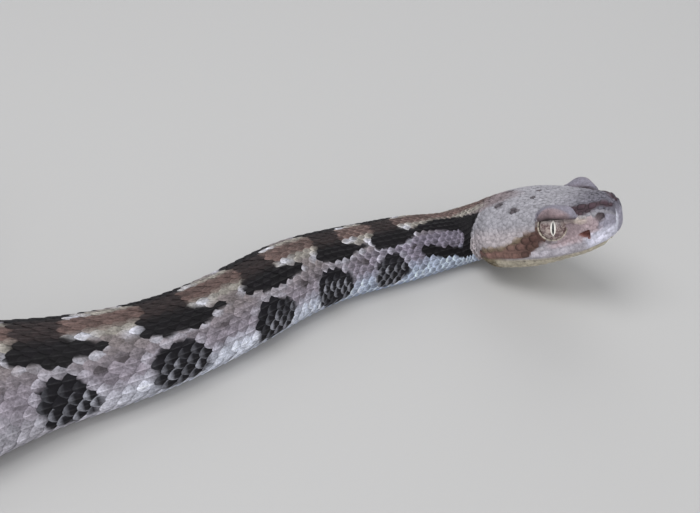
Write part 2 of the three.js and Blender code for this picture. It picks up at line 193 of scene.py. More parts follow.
def makeSpine():
    stations = np.arange(0, body["tailTip"] + 20.25, body["spineStep"])
    coil = body["coil"]
    along = np.maximum(0, stations - coil["start"])
    root = np.sqrt(np.maximum(0, coil["radius"] ** 2 - coil["perTurn"] * along / math.pi))
    coiled = 2 * math.pi / coil["perTurn"] * (coil["radius"] - root)
    sway = math.radians(coil["sway"]) * np.sin(2 * math.pi * along / coil["swayLength"])
    heading = np.radians(through(body["headings"], stations)) - coiled + sway
    fore = 1 - smooth(body["headLength"], body["touchdown"], stations)
    lift = body["tailLift"] * smooth(body["tailLiftStart"], body["tailTip"], stations)
    pitch = np.radians(body["headPitch"] * fore - lift)
    roll = np.radians(body["headRoll"] * fore)[:, None]
    flat = np.cos(pitch)
    forward = np.stack([flat * np.cos(heading), flat * np.sin(heading), np.sin(pitch)], 1)
    level = np.stack([-np.sin(heading), np.cos(heading), 0 * heading], 1)
    left = level * np.cos(roll) + np.cross(forward, level) * np.sin(roll)
    up = np.cross(forward, left)
    steps = -body["spineStep"] * forward[:-1]
    place = np.vstack([[0, 0, 0], np.cumsum(steps, 0)])
    nape = place[int(body["headLength"] / body["spineStep"])]
    ground = place[int(body["touchdown"] / body["spineStep"])][2]
    place = place + np.array([body["nape"][0] - nape[0], body["nape"][1] - nape[1], -ground])
    return place, forward, left, up


spine = makeSpine()


def spineAt(station):  # place, forward, left and up
    return [part[round(station / body["spineStep"])] for part in spine]


def framePoint(station, side, height):  # a place by station, distance to the left and height
    at = np.clip(station / body["spineStep"], 0, len(spine[0]) - 1.001)
    low = np.floor(at).astype(int)
    share = (at - low)[..., None]
    place, forward, left, up = (part[low] * (1 - share) + part[low + 1] * share for part in spine)
    ahead = np.maximum(0, -station)[..., None]
    return place + forward * ahead + left * side[..., None] + up * height[..., None]


def section(station, turn):  # side and height of the skin at a turn from the back
    half = through(body["halfWidths"], station)
    top = through(body["backHeights"], station)
    bottom = through(body["bellyHeights"], station)
    level = bottom + (top - bottom) * through(body["widestShares"], station)
    upper = np.cos(turn) >= 0
    backRound = through(body["backRoundness"], station)
    power = 2 / np.where(upper, backRound, through(body["bellyRoundness"], station))
    across = np.sign(np.sin(turn)) * np.abs(np.sin(turn)) ** power
    along = np.abs(np.cos(turn)) ** power
    under = level - bottom + body["bellyFlatShare"] * smooth(*body["bellyFlatFrom"], station) * top
    height = np.where(upper, level + (top - level) * along, np.maximum(bottom, level - under * along))
    hollow = (
        loreal["depth"]
        * bump(station, loreal["station"], loreal["length"])
        * bump(height, loreal["height"], loreal["tall"])
    )
    underLip = smooth(0, 0.6, through(mouth["line"], station) - height)
    inset = mouth["inset"] * underLip * (1 - smooth(mouth["corner"] - 5, mouth["corner"], station))
    return half * across - np.sign(across) * (hollow + inset), height


def lean(station, height):  # the lip lies behind the top of the snout
    tall = body["backHeights"][0][1] - body["bellyHeights"][0][1]
    fall = (body["backHeights"][0][1] - height) / tall
    return body["snoutLean"] * (1 - smooth(0, body["leanEnd"], station)) * fall


# The skin's own map: rows by station, columns by share of the half girth,
# 0 on the back, 1 on the belly, positive on the snake's left.
mapRows = np.concatenate([
    np.arange(-body["snoutCap"], 0, 0.15),
    np.arange(0, 30, 0.1),
    np.arange(30, body["tailTip"], 0.5),
    np.linspace(body["tailTip"], body["tailTip"] + body["tailCap"], 5),
])
mapColumns = np.linspace(-1, 1, 441)


def eyeFrame(side):  # centre and the ways across, up and out of an eye
    _, forward, left, up = spineAt(eye["station"])
    centre = framePoint(*np.array([eye["station"], side * eye["side"], eye["height"]]))
    ahead, rise = math.radians(eye["forward"]), math.radians(eye["upward"])
    out = left * side * math.cos(ahead) * math.cos(rise)
    out = out + forward * math.sin(ahead) * math.cos(rise) + up * math.sin(rise)
    across = np.cross(up, out)
    across /= np.linalg.norm(across)
    return centre, across, np.cross(out, across), out


def fromEye(points, side):  # distance from the eye's own axis, and height along it
    centre, across, rise, out = eyeFrame(side)
    offset = points - centre
    return np.hypot(offset @ across, offset @ rise), offset @ out


def sinkEye(points, side):  # the skin dips under the eye and rises to its rim
    far, height = fromEye(points, side)
    disc = eye["discRadius"]
    tall, wide = eye["lip"]
    under = np.sqrt(np.maximum(0.01, (eye["radius"] - eye["under"]) ** 2 - np.minimum(far, disc) ** 2))
    lip = eyeRim - 0.1 + tall * smooth(disc, disc + wide, far)
    blend = smooth(disc + 0.35, disc + eye["fold"], far)
    lowered = np.where(far < disc, under, lip * (1 - blend) + height * blend)
    near = (far < disc + eye["fold"]) & (height > -1)
    return points + np.where(near, lowered - height, 0)[..., None] * eyeFrame(side)[3]


def fromNostril(station, height):  # 1 at the rim of the nostril
    along = (station - nostril["station"]) / nostril["long"]
    return np.hypot(along, (height - nostril["height"]) / nostril["tall"])


def sculptHead(points, station, side, height):
    # Sinks the line of the mouth, the nostrils, the pits and the eyes.
    inward = -np.sign(side)[..., None] * spineAt(5)[2]  # the head's left is the same all along it
    isHead = station < body["headLength"]
    groove = 1 - (np.abs(height - through(mouth["line"], station)) / mouth["grooveHalf"]) ** 2
    ends = 1 - smooth(mouth["corner"] - 2, mouth["corner"], station)
    sunk = mouth["groove"] * np.maximum(0, groove) * ends * isHead
    sunk = sunk + nostril["depth"] * (1 - smooth(*nostril["wall"], fromNostril(station, height))) * isHead
    sunk = sunk + pit["depth"] * smooth(*pit["wall"], insideBy(station, height, pit["outline"])) * isHead
    points = points + sunk[..., None] * inward
    for eyeSide in (1, -1):
        points = np.where(isHead[..., None], sinkEye(points, eyeSide), points)
    return points


def mapSkin():
    count = 181
    turns = np.linspace(0, math.pi, count)
    base = np.clip(mapRows, 0, body["tailTip"])
    side, height = section(base[:, None] + 0 * turns, turns + 0 * base[:, None])
    steps = np.hypot(np.diff(side, axis=1), np.diff(height, axis=1))
    length = np.concatenate([np.zeros((len(base), 1)), np.cumsum(steps, 1)], 1)
    girth = length[:, -1]
    turn = np.stack([
        np.interp(np.abs(mapColumns), row / row[-1], turns) * np.sign(mapColumns) for row in length
    ])
    station = base[:, None] + 0 * turn
    side, height = section(station, turn)
    cap = np.clip(-mapRows / body["snoutCap"], 0, 1)[:, None] * math.pi / 2
    tailEnd = np.clip((mapRows - body["tailTip"]) / body["tailCap"], 0, 1)[:, None]
    reach = np.cos(cap) * (1 - tailEnd)
    middle = (through(body["backHeights"], base) + through(body["bellyHeights"], base))[:, None] / 2
    side, height = side * reach, middle + (height - middle) * reach
    along = station + lean(station, height) - body["snoutRound"] * np.sin(cap)
    points = framePoint(along, side, height)
    points = sculptHead(points, along, side, height)
    normal = np.cross(np.gradient(points, axis=0), np.gradient(points, axis=1))
    size = np.linalg.norm(normal, axis=2, keepdims=True)
    normal /= np.maximum(size, 1e-9)
    core = framePoint(along, 0 * side, middle + 0 * height)
    if np.sum((points - core) * normal) < 0:
        normal = -normal
    seam = normal[:, 0] + normal[:, -1]
    seam /= np.linalg.norm(seam, axis=1, keepdims=True) + 1e-9
    normal[:, 0] = normal[:, -1] = seam
    normal[0], normal[-1] = spineAt(0)[1], -spineAt(body["tailTip"])[1]
    return points, normal, girth, height, side


skinPoints, skinNormals, girths, skinHeights, skinSides = mapSkin()
print("skin mapped", skinPoints.shape)


def girthAt(station):  # length of skin from the back to the middle of the belly
    return np.interp(station, mapRows, girths)


def sample(grid, station, share):
    row = np.interp(station, mapRows, np.arange(len(mapRows)))
    column = (np.mod(share + 1, 2) / 2) * (len(mapColumns) - 1)
    i = np.clip(row.astype(int), 0, len(mapRows) - 2)
    j = np.clip(column.astype(int), 0, len(mapColumns) - 2)
    t, w = row - i, column - j
    if grid.ndim == 3:
        t, w = t[..., None], w[..., None]
    low = grid[i, j] * (1 - w) + grid[i, j + 1] * w
    high = grid[i + 1, j] * (1 - w) + grid[i + 1, j + 1] * w
    return low * (1 - t) + high * t


def onSkin(station, share, proud):
    normal = sample(skinNormals, station, share)
    normal /= np.linalg.norm(normal, axis=-1, keepdims=True) + 1e-9
    return sample(skinPoints, station, share) + normal * np.asarray(proud)[..., None]


def shareAtHeight(station, height, side=1):  # share of the girth where the skin has this height
    shares = np.linspace(0, 1, 400)
    stations = np.full_like(shares, station)
    heights = sample(skinHeights, stations, shares)
    return side * float(np.interp(-height, -heights, shares))


def shareAtSide(station, away):  # share of the girth, on the back, at a distance from the middle
    shares = np.linspace(0, 0.4, 200)
    return float(np.interp(away, np.abs(sample(skinSides, np.full_like(shares, station), shares)), shares))


# Colours: sRGB hex values made linear.
def linear(hexColour):
    value = hexColour.lstrip("#")
    parts = np.array([int(value[i : i + 2], 16) / 255 for i in (0, 2, 4)])
    return np.where(parts <= 0.04045, parts / 12.92, ((parts + 0.055) / 1.055) ** 2.4)


coatColours = {
    "back": "#716969",
    "flank": "#847d86",
    "low": "#b6b3bc",
    # the pale lower flank of neck and body: its own pale colour, with painted reflection of the sky in the
    # blue-white tint
    "neckLowAndReflection": "#b5c0d6",
    "bodyLowAndReflection": "#d4d8e6",
    "neckFlank": "#706a77",
    "belly": "#c2baac",
    "stripe": "#5a4945",
    "cream": "#8b867f",
    "saddle": "#0c090d",
    "saddleMiddle": "#282020",
    "border": "#c4c5d0",
    "spot": "#0f0d13",
    "tail": "#121014",
    "crown": "#908e94",
    "cheek": "#a8a0a3",
    "crownTint": "#76686a",
    "prenasal": "#918e9b",
    "snoutTop": "#625f69",
    "canthus": "#3e2b32",
    "face": "#a08f93",
    "lip": "#aaa5ad",
    "lipFront": "#c6c5d3",
    "cheekBand": "#775c55",
    "cheekEdge": "#746955",
    "bandFront": "#513934",
    "jaw": "#a9a191",
    "chin": "#c6c0ae",
    # the pit is painted darker: painted shade in its hollow
    "pit": "#7a4f4a",
    # painted shade inside the nostril
    "nostrilShade": "#54484b",
    "fleck": "#3a2f34",
    "eyeRing": "#cdc3b4",
    "brow": "#797580",
    "browLip": "#8f7d80",
    # painted shade along the brow shield's edges and under it
    "browShade": "#4f4245",
    "browStreak": "#c8baac",
}
shade = {name: linear(value) for name, value in coatColours.items()}

# Markings. Saddles and the spots under them are given by station and size, and their outlines by
# (millimetres towards the tail, share of the half girth) at a size of one unit.
marks = {
    # Station of the mark on the skin's midline: the neck is turned a little on the body.
    "midline": [
        (0, 0), (22, 0.02), (28, 0.08), (38, 0.08), (48, 0.025), (60, 0.01),
        (90, 0.03), (130, 0.03), (160, 0), (380, 0),
    ],
    "saddles": [(48, 11.6), (58.7, 12.8), (73.1, 15.5), (90, 18), (108.2, 18.5)],
    "spots": [(48.2, 12.1), (60.2, 15.5), (74.2, 14.9), (90.3, 17.4), (106, 17)],
    "spacing": 19.0,
    "unit": 18.5,
    "around": 22,  # share of the half girth to the outlines' own length
    "saddle": [
        (2.7, -0.1), (3.2, 0.06), (4.8, 0.14), (5.2, 0.19), (3.6, 0.25), (0, 0.275), (-3.6, 0.28),
        (-6.4, 0.255), (-9.4, 0.21), (-9.2, 0.185), (-5.6, 0.15), (-4.2, 0.11), (-3.6, -0.1),
    ],
    "spot": [
        (4.5, 0.47), (4.2, 0.39), (2.2, 0.34), (-0.8, 0.33), (-3.2, 0.38), (-4.8, 0.48), (-4.6, 0.58),
        (-2.4, 0.68), (1.6, 0.72), (4, 0.66), (4.9, 0.56),
    ],
    "edge": (-0.12, 0.12),  # where a mark's colour sets in, in millimetres inside its outline
    "dusk": (255, 345),  # the body darkens over these stations
    "blackTail": (338, 352),
    "stripeHalf": 0.085,
    "stripeEdge": 0.15,
    "nape": [
        (23.4, 0.235), (24.8, 0.2), (26.2, 0.185), (28, 0.172), (31.5, 0.128), (34.5, 0.11), (37.5, 0.11),
        (41.5, 0.135), (43, 0.17), (42, 0.225), (39.5, 0.25), (36, 0.27), (33.6, 0.3), (32.5, 0.355),
        (32.7, 0.44), (34, 0.485), (37, 0.452), (40, 0.398), (42, 0.378), (42.6, 0.43), (42, 0.475),
        (39.2, 0.54), (36.8, 0.58), (34.2, 0.62), (31.5, 0.665), (28.6, 0.66), (27, 0.62), (28.5, 0.5),
        (27, 0.4), (25, 0.3),
    ],
    "headEnd": [
        (0, 24.5), (0.15, 24), (0.2, 24), (0.31, 28), (0.4, 29.2), (0.483, 30),
        (0.58, 29.2), (0.64, 28), (1, 26.5),
    ],
    "smudges": [(-7.4, 0.345, 1.5, 0.55, 0.75), (-9.6, 0.6, 0.6, 0.5, 0.5), (7.6, 0.33, 1.1, 0.4, 0.6)],
    "cheekBand": [
        (9.6, 0.415), (12, 0.38), (13.3, 0.4), (15.2, 0.435), (18, 0.48), (23.7, 0.55), (26.8, 0.6),
        (27, 0.66), (22, 0.62), (18.2, 0.585), (14.6, 0.595), (12.8, 0.57), (11.5, 0.525), (9.9, 0.49),
    ],
    "canthus": [
        (5.8, 0.185), (4, 0.17), (2.4, 0.15), (1.2, 0.1), (-0.4, 0.05), (-1, 0.06), (-0.9, 0.15),
        (0.4, 0.175), (1.3, 0.2), (2, 0.26), (3.8, 0.295), (5.6, 0.26),
    ],
    "flecks": [
        (13.6, -0.047, 0.6), (19.5, -0.13, 0.95), (15.6, -0.201, 0.8), (13.9, 0.06, 0.5), (20.4, 0.085, 0.65),
    ],
    "jawDashes": [15.5, 14.5, 12.8],
}


def carriedOn(made):  # the row of marks goes on to the vent
    made = list(made)
    while made[-1][0] < body["vent"] - 12:
        made.append((made[-1][0] + marks["spacing"] + 0.8 * math.sin(2.4 * len(made)), marks["spacing"]))
    return made


def insideMark(name, station, share):  # millimetres inside a marking's outline
    return insideBy(station, np.abs(share) * girthAt(station), [(x, y * girthAt(x)) for x, y in marks[name]])


def mix(low, high, share):  # low and high are colours or their names
    low, high = (shade[value] if isinstance(value, str) else value for value in (low, high))
    return low * (1 - share[..., None]) + high * share[..., None]


def wobble(station, share, size):  # a slow wave that makes the marks uneven
    return size * (
        np.sin(station * 0.9 + 5 * share) * 0.5
        + np.sin(station * 2.3 - 11 * share + 1.7) * 0.3
        + np.sin(station * 0.37 + 3.1 * share + 4) * 0.4
    )


def nearMarks(kind, reach, shift, station, share):
    # Each mark in turn: which points are near it, its own station, and those points' places in its own units.
    for centre, size in carriedOn(marks[kind]):
        unit = size / marks["unit"]
        near = np.abs(station - centre) < reach * unit + 2
        if near.any():
            at, where = station[near], share[near]
            along = (at - centre) / unit + wobble(at + shift, where, 0.5)
            yield near, centre, along, np.abs(where) * marks["around"] + wobble(at + 40, where, 0.3)


def bodyColour(station, share):
    share = share - through(marks["midline"], station)
    side = np.abs(share)
    colour = mix("back", "flank", smooth(0.2, 0.42, side))
    colour = mix(colour, "neckFlank", smooth(0.2, 0.3, side) * (1 - smooth(44, 66, station)))
    # The pale lower flank: its own pale colour, with painted reflection of the sky in the blue-white tint.
    low = mix("neckLowAndReflection", "bodyLowAndReflection", smooth(48, 80, station))
    low = mix(low, "low", smooth(86, 108, station))
    colour = mix(colour, low, smooth(0.44, 0.6, side + wobble(station, share, 0.03)))
    colour = mix(colour, "belly", smooth(0.84, 0.92, side))
    edge = wobble(station, share, 0.012)
    for name, half, low, high in (("cream", "stripeEdge", 0.01, 0.025), ("stripe", "stripeHalf", 0.03, 0.03)):
        colour = mix(colour, name, 1 - smooth(marks[half] - low, marks[half] + high, side + edge))
    for near, centre, along, across in nearMarks("saddles", 13, 0, station, share):
        spread = 1 + 0.75 * smooth(190, 300, centre)
        inSaddle = insideBy(along, across, [(x, y * marks["around"] * spread) for x, y in marks["saddle"]])
        part = colour[near]
        # Pale scales stand behind the saddle, in its notch and in a broken row under it.
        behind = bump(along, 5.4, 1.8) * bump(across, 3.9, 1.3)
        notch = bump(along, -6.2, 2.6) * bump(across, 2.7, 1.1)
        under = smooth(4.4, 5.4, across) * (0.35 + 0.65 * smooth(-0.6, 0.4, np.sin(2.6 * along + centre)))
        halo = 0.6 * np.clip(1 - np.abs(inSaddle + 0.3) / 0.45, 0, 1) * under
        halo = np.maximum(halo, 0.85 * np.maximum(behind, notch))
        part = mix(part, "border", halo)
        for x, y, long, tall, strength in marks["smudges"]:
            far = np.hypot((along - x) / long, (across - y * marks["around"]) / tall)
            part = mix(part, "saddleMiddle", strength * (1 - smooth(0.6, 1.3, far)))
        middle = mix("saddleMiddle", "saddle", smooth(0.05, 0.15, side[near]))
        colour[near] = mix(part, middle, smooth(*marks["edge"], inSaddle))
    for near, _, along, across in nearMarks("spots", 8, 9, station, share):
        inSpot = insideBy(along, across, [(x, y * marks["around"]) for x, y in marks["spot"]])
        part = mix(colour[near], "border", 0.3 * np.clip(1 - np.abs(inSpot + 0.4) / 0.5, 0, 1))
        colour[near] = mix(part, "spot", smooth(*marks["edge"], inSpot))
    colour = mix(colour, "saddle", smooth(*marks["edge"], insideMark("nape", station, share)))
    colour = mix(colour, "saddle", 0.75 * smooth(*marks["dusk"], station))
    return mix(colour, "tail", smooth(*marks["blackTail"], station))


def headColour(station, share, height):
    side = np.abs(share)
    colour = shade["crown"] + np.zeros(np.shape(station) + (3,))
    cheek = smooth(0.3, 0.42, side) * smooth(9, 13, station)
    colour = mix(colour, "cheek", cheek)
    colour = mix(colour, "snoutTop", (1 - smooth(1.5, 10.5, station)) * (1 - smooth(0.2, 0.3, side)))
    tint = 0.02 * (station - 14.5) - np.abs(share - 0.01)  # the stripe of the neck fades out on the crown
    colour = mix(colour, "crownTint", 0.85 * smooth(-0.03, 0.05, tint) * smooth(14.5, 21, station))
    face = smooth(0.3, 0.36, side) * (1 - smooth(8.5, 11, station))
    colour = mix(colour, "face", face)
    mottle = np.sin(3.1 * station + 9 * height) * np.sin(2.3 * height - 1.7 * station)
    colour = colour * (1 + 0.12 * face * mottle)[..., None]
    low = through(mouth["line"], station)
    nose = (1 - smooth(0.2, 1.4, station)) * smooth(4.2, 5.2, height)
    colour = mix(colour, "prenasal", nose * smooth(0.25, 0.32, side))
    front = 1 - smooth(2.6, 4.4, station)
    white = 1 - smooth(1.5 + 0.9 * front, 2.7 + 0.5 * front, height - low)
    slant = station + 1.6 * (height - low)
    mottle = np.sin(5.2 * station + 3 * height) * np.sin(4.4 * height - 2.9 * station)
    lips = mix("lip", "lipFront", front) * (1 + 0.16 * mottle)[..., None]
    colour = mix(colour, lips, white * (1 - smooth(13, 16, slant)))
    colour = mix(colour, "canthus", 0.95 * smooth(-0.3, 0.3, insideMark("canthus", station, share)))
    band = insideMark("cheekBand", station, share)
    olive = smooth(11, 15, station) * (1 - smooth(0.1, 1.1, band)) * (side < 0.54)
    inBand = mix("bandFront", "cheekBand", smooth(12, 17, station))
    inBand = mix(inBand, "cheekEdge", 0.75 * olive)
    colour = mix(colour, inBand, smooth(-0.3, 0.25, band))
    streak = bump(station, 4.6, 2.8) * bump(height, 8.3, 0.7) * (side > 0.2)
    colour = mix(colour, "browStreak", 0.75 * np.sqrt(streak))
    below = smooth(-0.1, 0.25, low - height) * (1 - smooth(22, 26, station))
    jaw = mix("jaw", "chin", smooth(0.75, 0.9, side))
    jaw = mix(jaw, "cheekEdge", smooth(18.6, 20.6, station) * (1 - smooth(0.74, 0.84, side)))
    colour = mix(colour, jaw, below)
    for x in marks["jawDashes"]:
        far = np.hypot((station - x) / 0.5, (height - low + 0.5) / 0.22)
        colour = mix(colour, "fleck", 0.8 * (1 - smooth(0.5, 1.2, far)))
    for x, y, size in marks["flecks"]:
        far = np.hypot((station - x) / 1.3, (share - y) * girthAt(station))
        colour = mix(colour, "fleck", 0.84 * (1 - smooth(0.5 * size, 1.15 * size, far)))
    at = station + lean(station, height)
    # Painted shade: the nostril is dark inside its rim.
    colour = mix(colour, "nostrilShade", 0.9 * (1 - smooth(0.6, 1.3, fromNostril(at, height))))
    # Painted shade: the pit is darker inside its outline.
    return mix(colour, "pit", smooth(-0.15, 0.1, insideBy(at, height, pit["outline"])))


def coatColour(station, share):  # colour of skin and scales alike
    station, share = np.broadcast_arrays(np.asarray(station, float), np.asarray(share, float))
    share = np.mod(share + 1, 2) - 1
    side = np.abs(share)
    colour = bodyColour(station, share)
    border = np.interp(side, *np.transpose(marks["headEnd"]))
    onHead = station < border + 2
    if onHead.any():
        height = sample(skinHeights, station[onHead], share[onHead])
        head = headColour(station[onHead], share[onHead], height)
        crisp = smooth(-0.25, 0.25, station[onHead] - border[onHead])
        soft = smooth(-2.5, 2, station[onHead] - border[onHead])
        colour[onHead] = mix(head, colour[onHead], np.where(side[onHead] < 0.12, soft, crisp))
    return colour


# Meshes.
def alone(piece=None):
    for other in bpy.data.objects:
        other.select_set(False)
    if piece:
        piece.select_set(True)
        bpy.context.view_layer.objects.active = piece


def faceOutwards(mesh):
    made = bmesh.new()
    made.from_mesh(mesh)
    if made.calc_volume(signed=True) < 0:
        bmesh.ops.reverse_faces(made, faces=made.faces)
        made.to_mesh(mesh)
    made.free()


def closedMesh(name, points, faces):
    mesh = bpy.data.meshes.new(name)
    mesh.from_pydata((np.asarray(points).reshape(-1, 3) * mm).tolist(), [], faces)
    piece = bpy.data.objects.new(name, mesh)
    bpy.context.collection.objects.link(piece)
    faceOutwards(mesh)
    return piece


def pointsOf(piece):
    return np.array([point.co[:] for point in piece.data.vertices])


def addBall(name, segments, rings):  # a ball of radius 1 to be shaped
    alone()
    bpy.ops.mesh.primitive_uv_sphere_add(segments=segments, ring_count=rings, radius=1)
    piece = bpy.context.object
    piece.name = piece.data.name = name
    return piece, pointsOf(piece)


def shapeBall(piece, points):
    piece.data.vertices.foreach_set("co", (points * mm).ravel())
    piece.data.update()
    faceOutwards(piece.data)


def paint(mesh, colours):
    layer = mesh.attributes.new("coat", "FLOAT_COLOR", "POINT")
    rgba = np.concatenate([colours, np.ones((len(mesh.vertices), 1))], 1)
    layer.data.foreach_set("color", np.clip(rgba, 0, 1).astype(np.float32).ravel())


def cornerPoints(mesh):  # the number of the point at each corner of each face
    corners = np.empty(len(mesh.loops), int)
    mesh.loops.foreach_get("vertex_index", corners)
    return corners


def addBakeMap(mesh, places):  # a place on the map for each corner of each face
    uv = mesh.uv_layers.new(name="OFBake")
    uv.data.foreach_set("uv", places.astype(np.float32).ravel())


def finishPiece(piece, material, angle=40):
    alone(piece)
    bpy.ops.object.shade_smooth_by_angle(angle=math.radians(angle))
    piece.data.materials.clear()
    piece.data.materials.append(material)
    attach(piece, "root")


# Materials.
def setNode(tree, node, settings=None, links=None):
    for key, value in (settings or {}).items():
        if isinstance(key, str) and hasattr(node, key):
            setattr(node, key, value)
        else:
            node.inputs[key].default_value = value
    for key, socket in (links or {}).items():
        tree.links.new(socket, node.inputs[key])
    return node


def addNode(tree, kind, settings=None, links=None):
    return setNode(tree, tree.nodes.new(kind), settings, links)


def newMaterial(name, settings):
    material = bpy.data.materials.new(name)
    material.use_nodes = True
    tree = material.node_tree
    return material, tree, setNode(tree, tree.nodes["Principled BSDF"], settings)


def horn(name, roughness, speckle, coat):
    # Scale keratin: thin dry horn over pigment, a soft sheen along the edges.
    material, tree, shader = newMaterial(name, {"IOR": 1.5, "Specular IOR Level": coat})
    place = addNode(tree, "ShaderNodeTexCoord").outputs["Object"]
    pigment = addNode(tree, "ShaderNodeAttribute", {"attribute_name": "coat"}).outputs["Color"]
    stipple = {"Scale": 1 / 0.0011, "Detail": 4, "Roughness": 0.6}  # about 1 mm across
    grain = addNode(tree, "ShaderNodeTexNoise", stipple, {"Vector": place}).outputs["Fac"]
    pepper = {"Scale": 1 / 0.00035, "Detail": 2, "Roughness": 0.7}  # about a third of a millimetre
    dots = addNode(tree, "ShaderNodeTexNoise", pepper, {"Vector": place}).outputs["Fac"]
    shades = []
    for source, low, high, least, most in (
        (grain, 0.35, 0.68, 1 - speckle, 1 + speckle),
        (dots, 0.38, 0.55, 1 - 1.2 * speckle, 1.04),
        (grain, 0, 1, roughness - 0.1, roughness + 0.12),
    ):
        spread = {"From Min": low, "From Max": high, "To Min": least, "To Max": most}
        shades.append(addNode(tree, "ShaderNodeMapRange", spread, {"Value": source}).outputs["Result"])
    both = addNode(tree, "ShaderNodeMath", {"operation": "MULTIPLY"}, {0: shades[0], 1: shades[1]}).outputs[0]
    tinted = addNode(tree, "ShaderNodeVectorMath", {"operation": "SCALE"}, {0: pigment, "Scale": both})
    rise = {"Strength": 0.5, "Distance": 0.00004}
    relief = addNode(tree, "ShaderNodeBump", rise, {"Height": dots}).outputs[0]
    setNode(tree, shader, links={"Base Color": tinted.outputs[0], "Roughness": shades[2], "Normal": relief})
    return material


bodyHorn = horn("BodyScaleKeratin", 0.58, 0.25, 0.18)
headHorn = horn("HeadScaleKeratin", 0.6, 0.18, 0.25)
bellyHorn = horn("BellyScuteKeratin", 0.42, 0.08, 0.5)
softSkin = horn("SoftSkinBetweenScales", 0.7, 0.15, 0.3)


# Skin: one closed sheet from snout to rattle.
skinSize = {
    "headDepth": 0.13, "bodyDepth": 0.42, "tailDepth": 0.24,
    "headStep": 2, "bodyStep": 3, "columnStep": 2,  # rows and columns of the skin's map to each face
    "headTone": 0.9, "bodyTone": 0.5,  # how dark the skin between the scales is
}
bakeStrips = {  # the unrolled skin is cut into strips that lie side by side on its map
    "cuts": np.array([-4, 30, 100, 170, 240, 310, 400.0]),
    "floors": np.array([0, 0.3, 0.44, 0.58, 0.72, 0.86]),
    "talls": np.array([0.29, 0.13, 0.13, 0.13, 0.13, 0.13]),
}


def coatDepth(station):  # how far the skin lies under the tips of its scales
    fore = skinSize["headDepth"] + (skinSize["bodyDepth"] - skinSize["headDepth"]) * smooth(20, 27, station)
    return fore + (skinSize["tailDepth"] - skinSize["bodyDepth"]) * smooth(320, 360, station)


def makeSkin():
    headRows = np.arange(1, np.searchsorted(mapRows, 30), skinSize["headStep"])
    bodyRows = np.arange(headRows[-1] + 1, len(mapRows) - 1, skinSize["bodyStep"])
    rows = np.concatenate([headRows, bodyRows, [len(mapRows) - 2]])
    columns = np.arange(0, len(mapColumns) - 1, skinSize["columnStep"])
    station, share = np.meshgrid(mapRows[rows], mapColumns[columns], indexing="ij")
    points = onSkin(station, share, -coatDepth(station))
    tip = skinPoints[0].mean(0) - spineAt(0)[1] * skinSize["headDepth"]
    end = skinPoints[-1].mean(0) + spineAt(body["tailTip"])[1] * skinSize["headDepth"]
    count, wide = station.shape
    index = np.arange(count * wide).reshape(count, wide)
    nextOne = np.roll(index, -1, 1)
    quads = np.stack([index[:-1], nextOne[:-1], nextOne[1:], index[1:]], -1).reshape(-1, 4).tolist()
    first, last = count * wide, count * wide + 1
    quads += [[first, int(b), int(a)] for a, b in zip(index[0], nextOne[0])]
    quads += [[last, int(a), int(b)] for a, b in zip(index[-1], nextOne[-1])]
    piece = closedMesh("skin", np.vstack([points.reshape(-1, 3), [tip, end]]), quads)
    tone = skinSize["headTone"] + (skinSize["bodyTone"] - skinSize["headTone"]) * smooth(22, 28, station)
    colours = (coatColour(station, share) * tone[..., None]).reshape(-1, 3)
    paint(piece.data, np.vstack([colours, colours[:1], colours[-1:]]))
    mapSkinBake(piece.data, station, share)
    finishPiece(piece, softSkin, 60)
    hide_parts("head", "lower_jaw", "neck", *[f"body_{i}" for i in range(1, 9)], "tail")
    return piece


def mapSkinBake(mesh, station, share):
    cuts, floors, talls = bakeStrips.values()
    flatStation = np.append(station.ravel(), [-body["snoutCap"], body["tailTip"] + body["tailCap"]])
    flatShare = np.append(share.ravel(), [0, 0])
    corners = cornerPoints(mesh)
    starts = np.empty(len(mesh.polygons), int)
    mesh.polygons.foreach_get("loop_start", starts)
    face = np.searchsorted(starts, np.arange(len(corners)), side="right") - 1
    s, q = flatStation[corners], flatShare[corners]
    middle = np.bincount(face, s) / np.bincount(face)
    low = np.full(len(starts), 9.0)
    high = np.full(len(starts), -9.0)
    np.minimum.at(low, face, q)
    np.maximum.at(high, face, q)
    q = np.where((high - low > 1)[face] & (q < 0), q + 2, q)  # faces over the seam stay whole
    strip = np.clip(np.searchsorted(cuts, middle[face], side="right") - 1, 0, len(floors) - 1)
    u = (s - cuts[strip]) / (cuts[strip + 1] - cuts[strip])
    v = floors[strip] + talls[strip] * (q + 1) / 2.02
    addBakeMap(mesh, np.stack([u, v], 1))


skin = makeSkin()
print("skin made", len(skin.data.polygons))


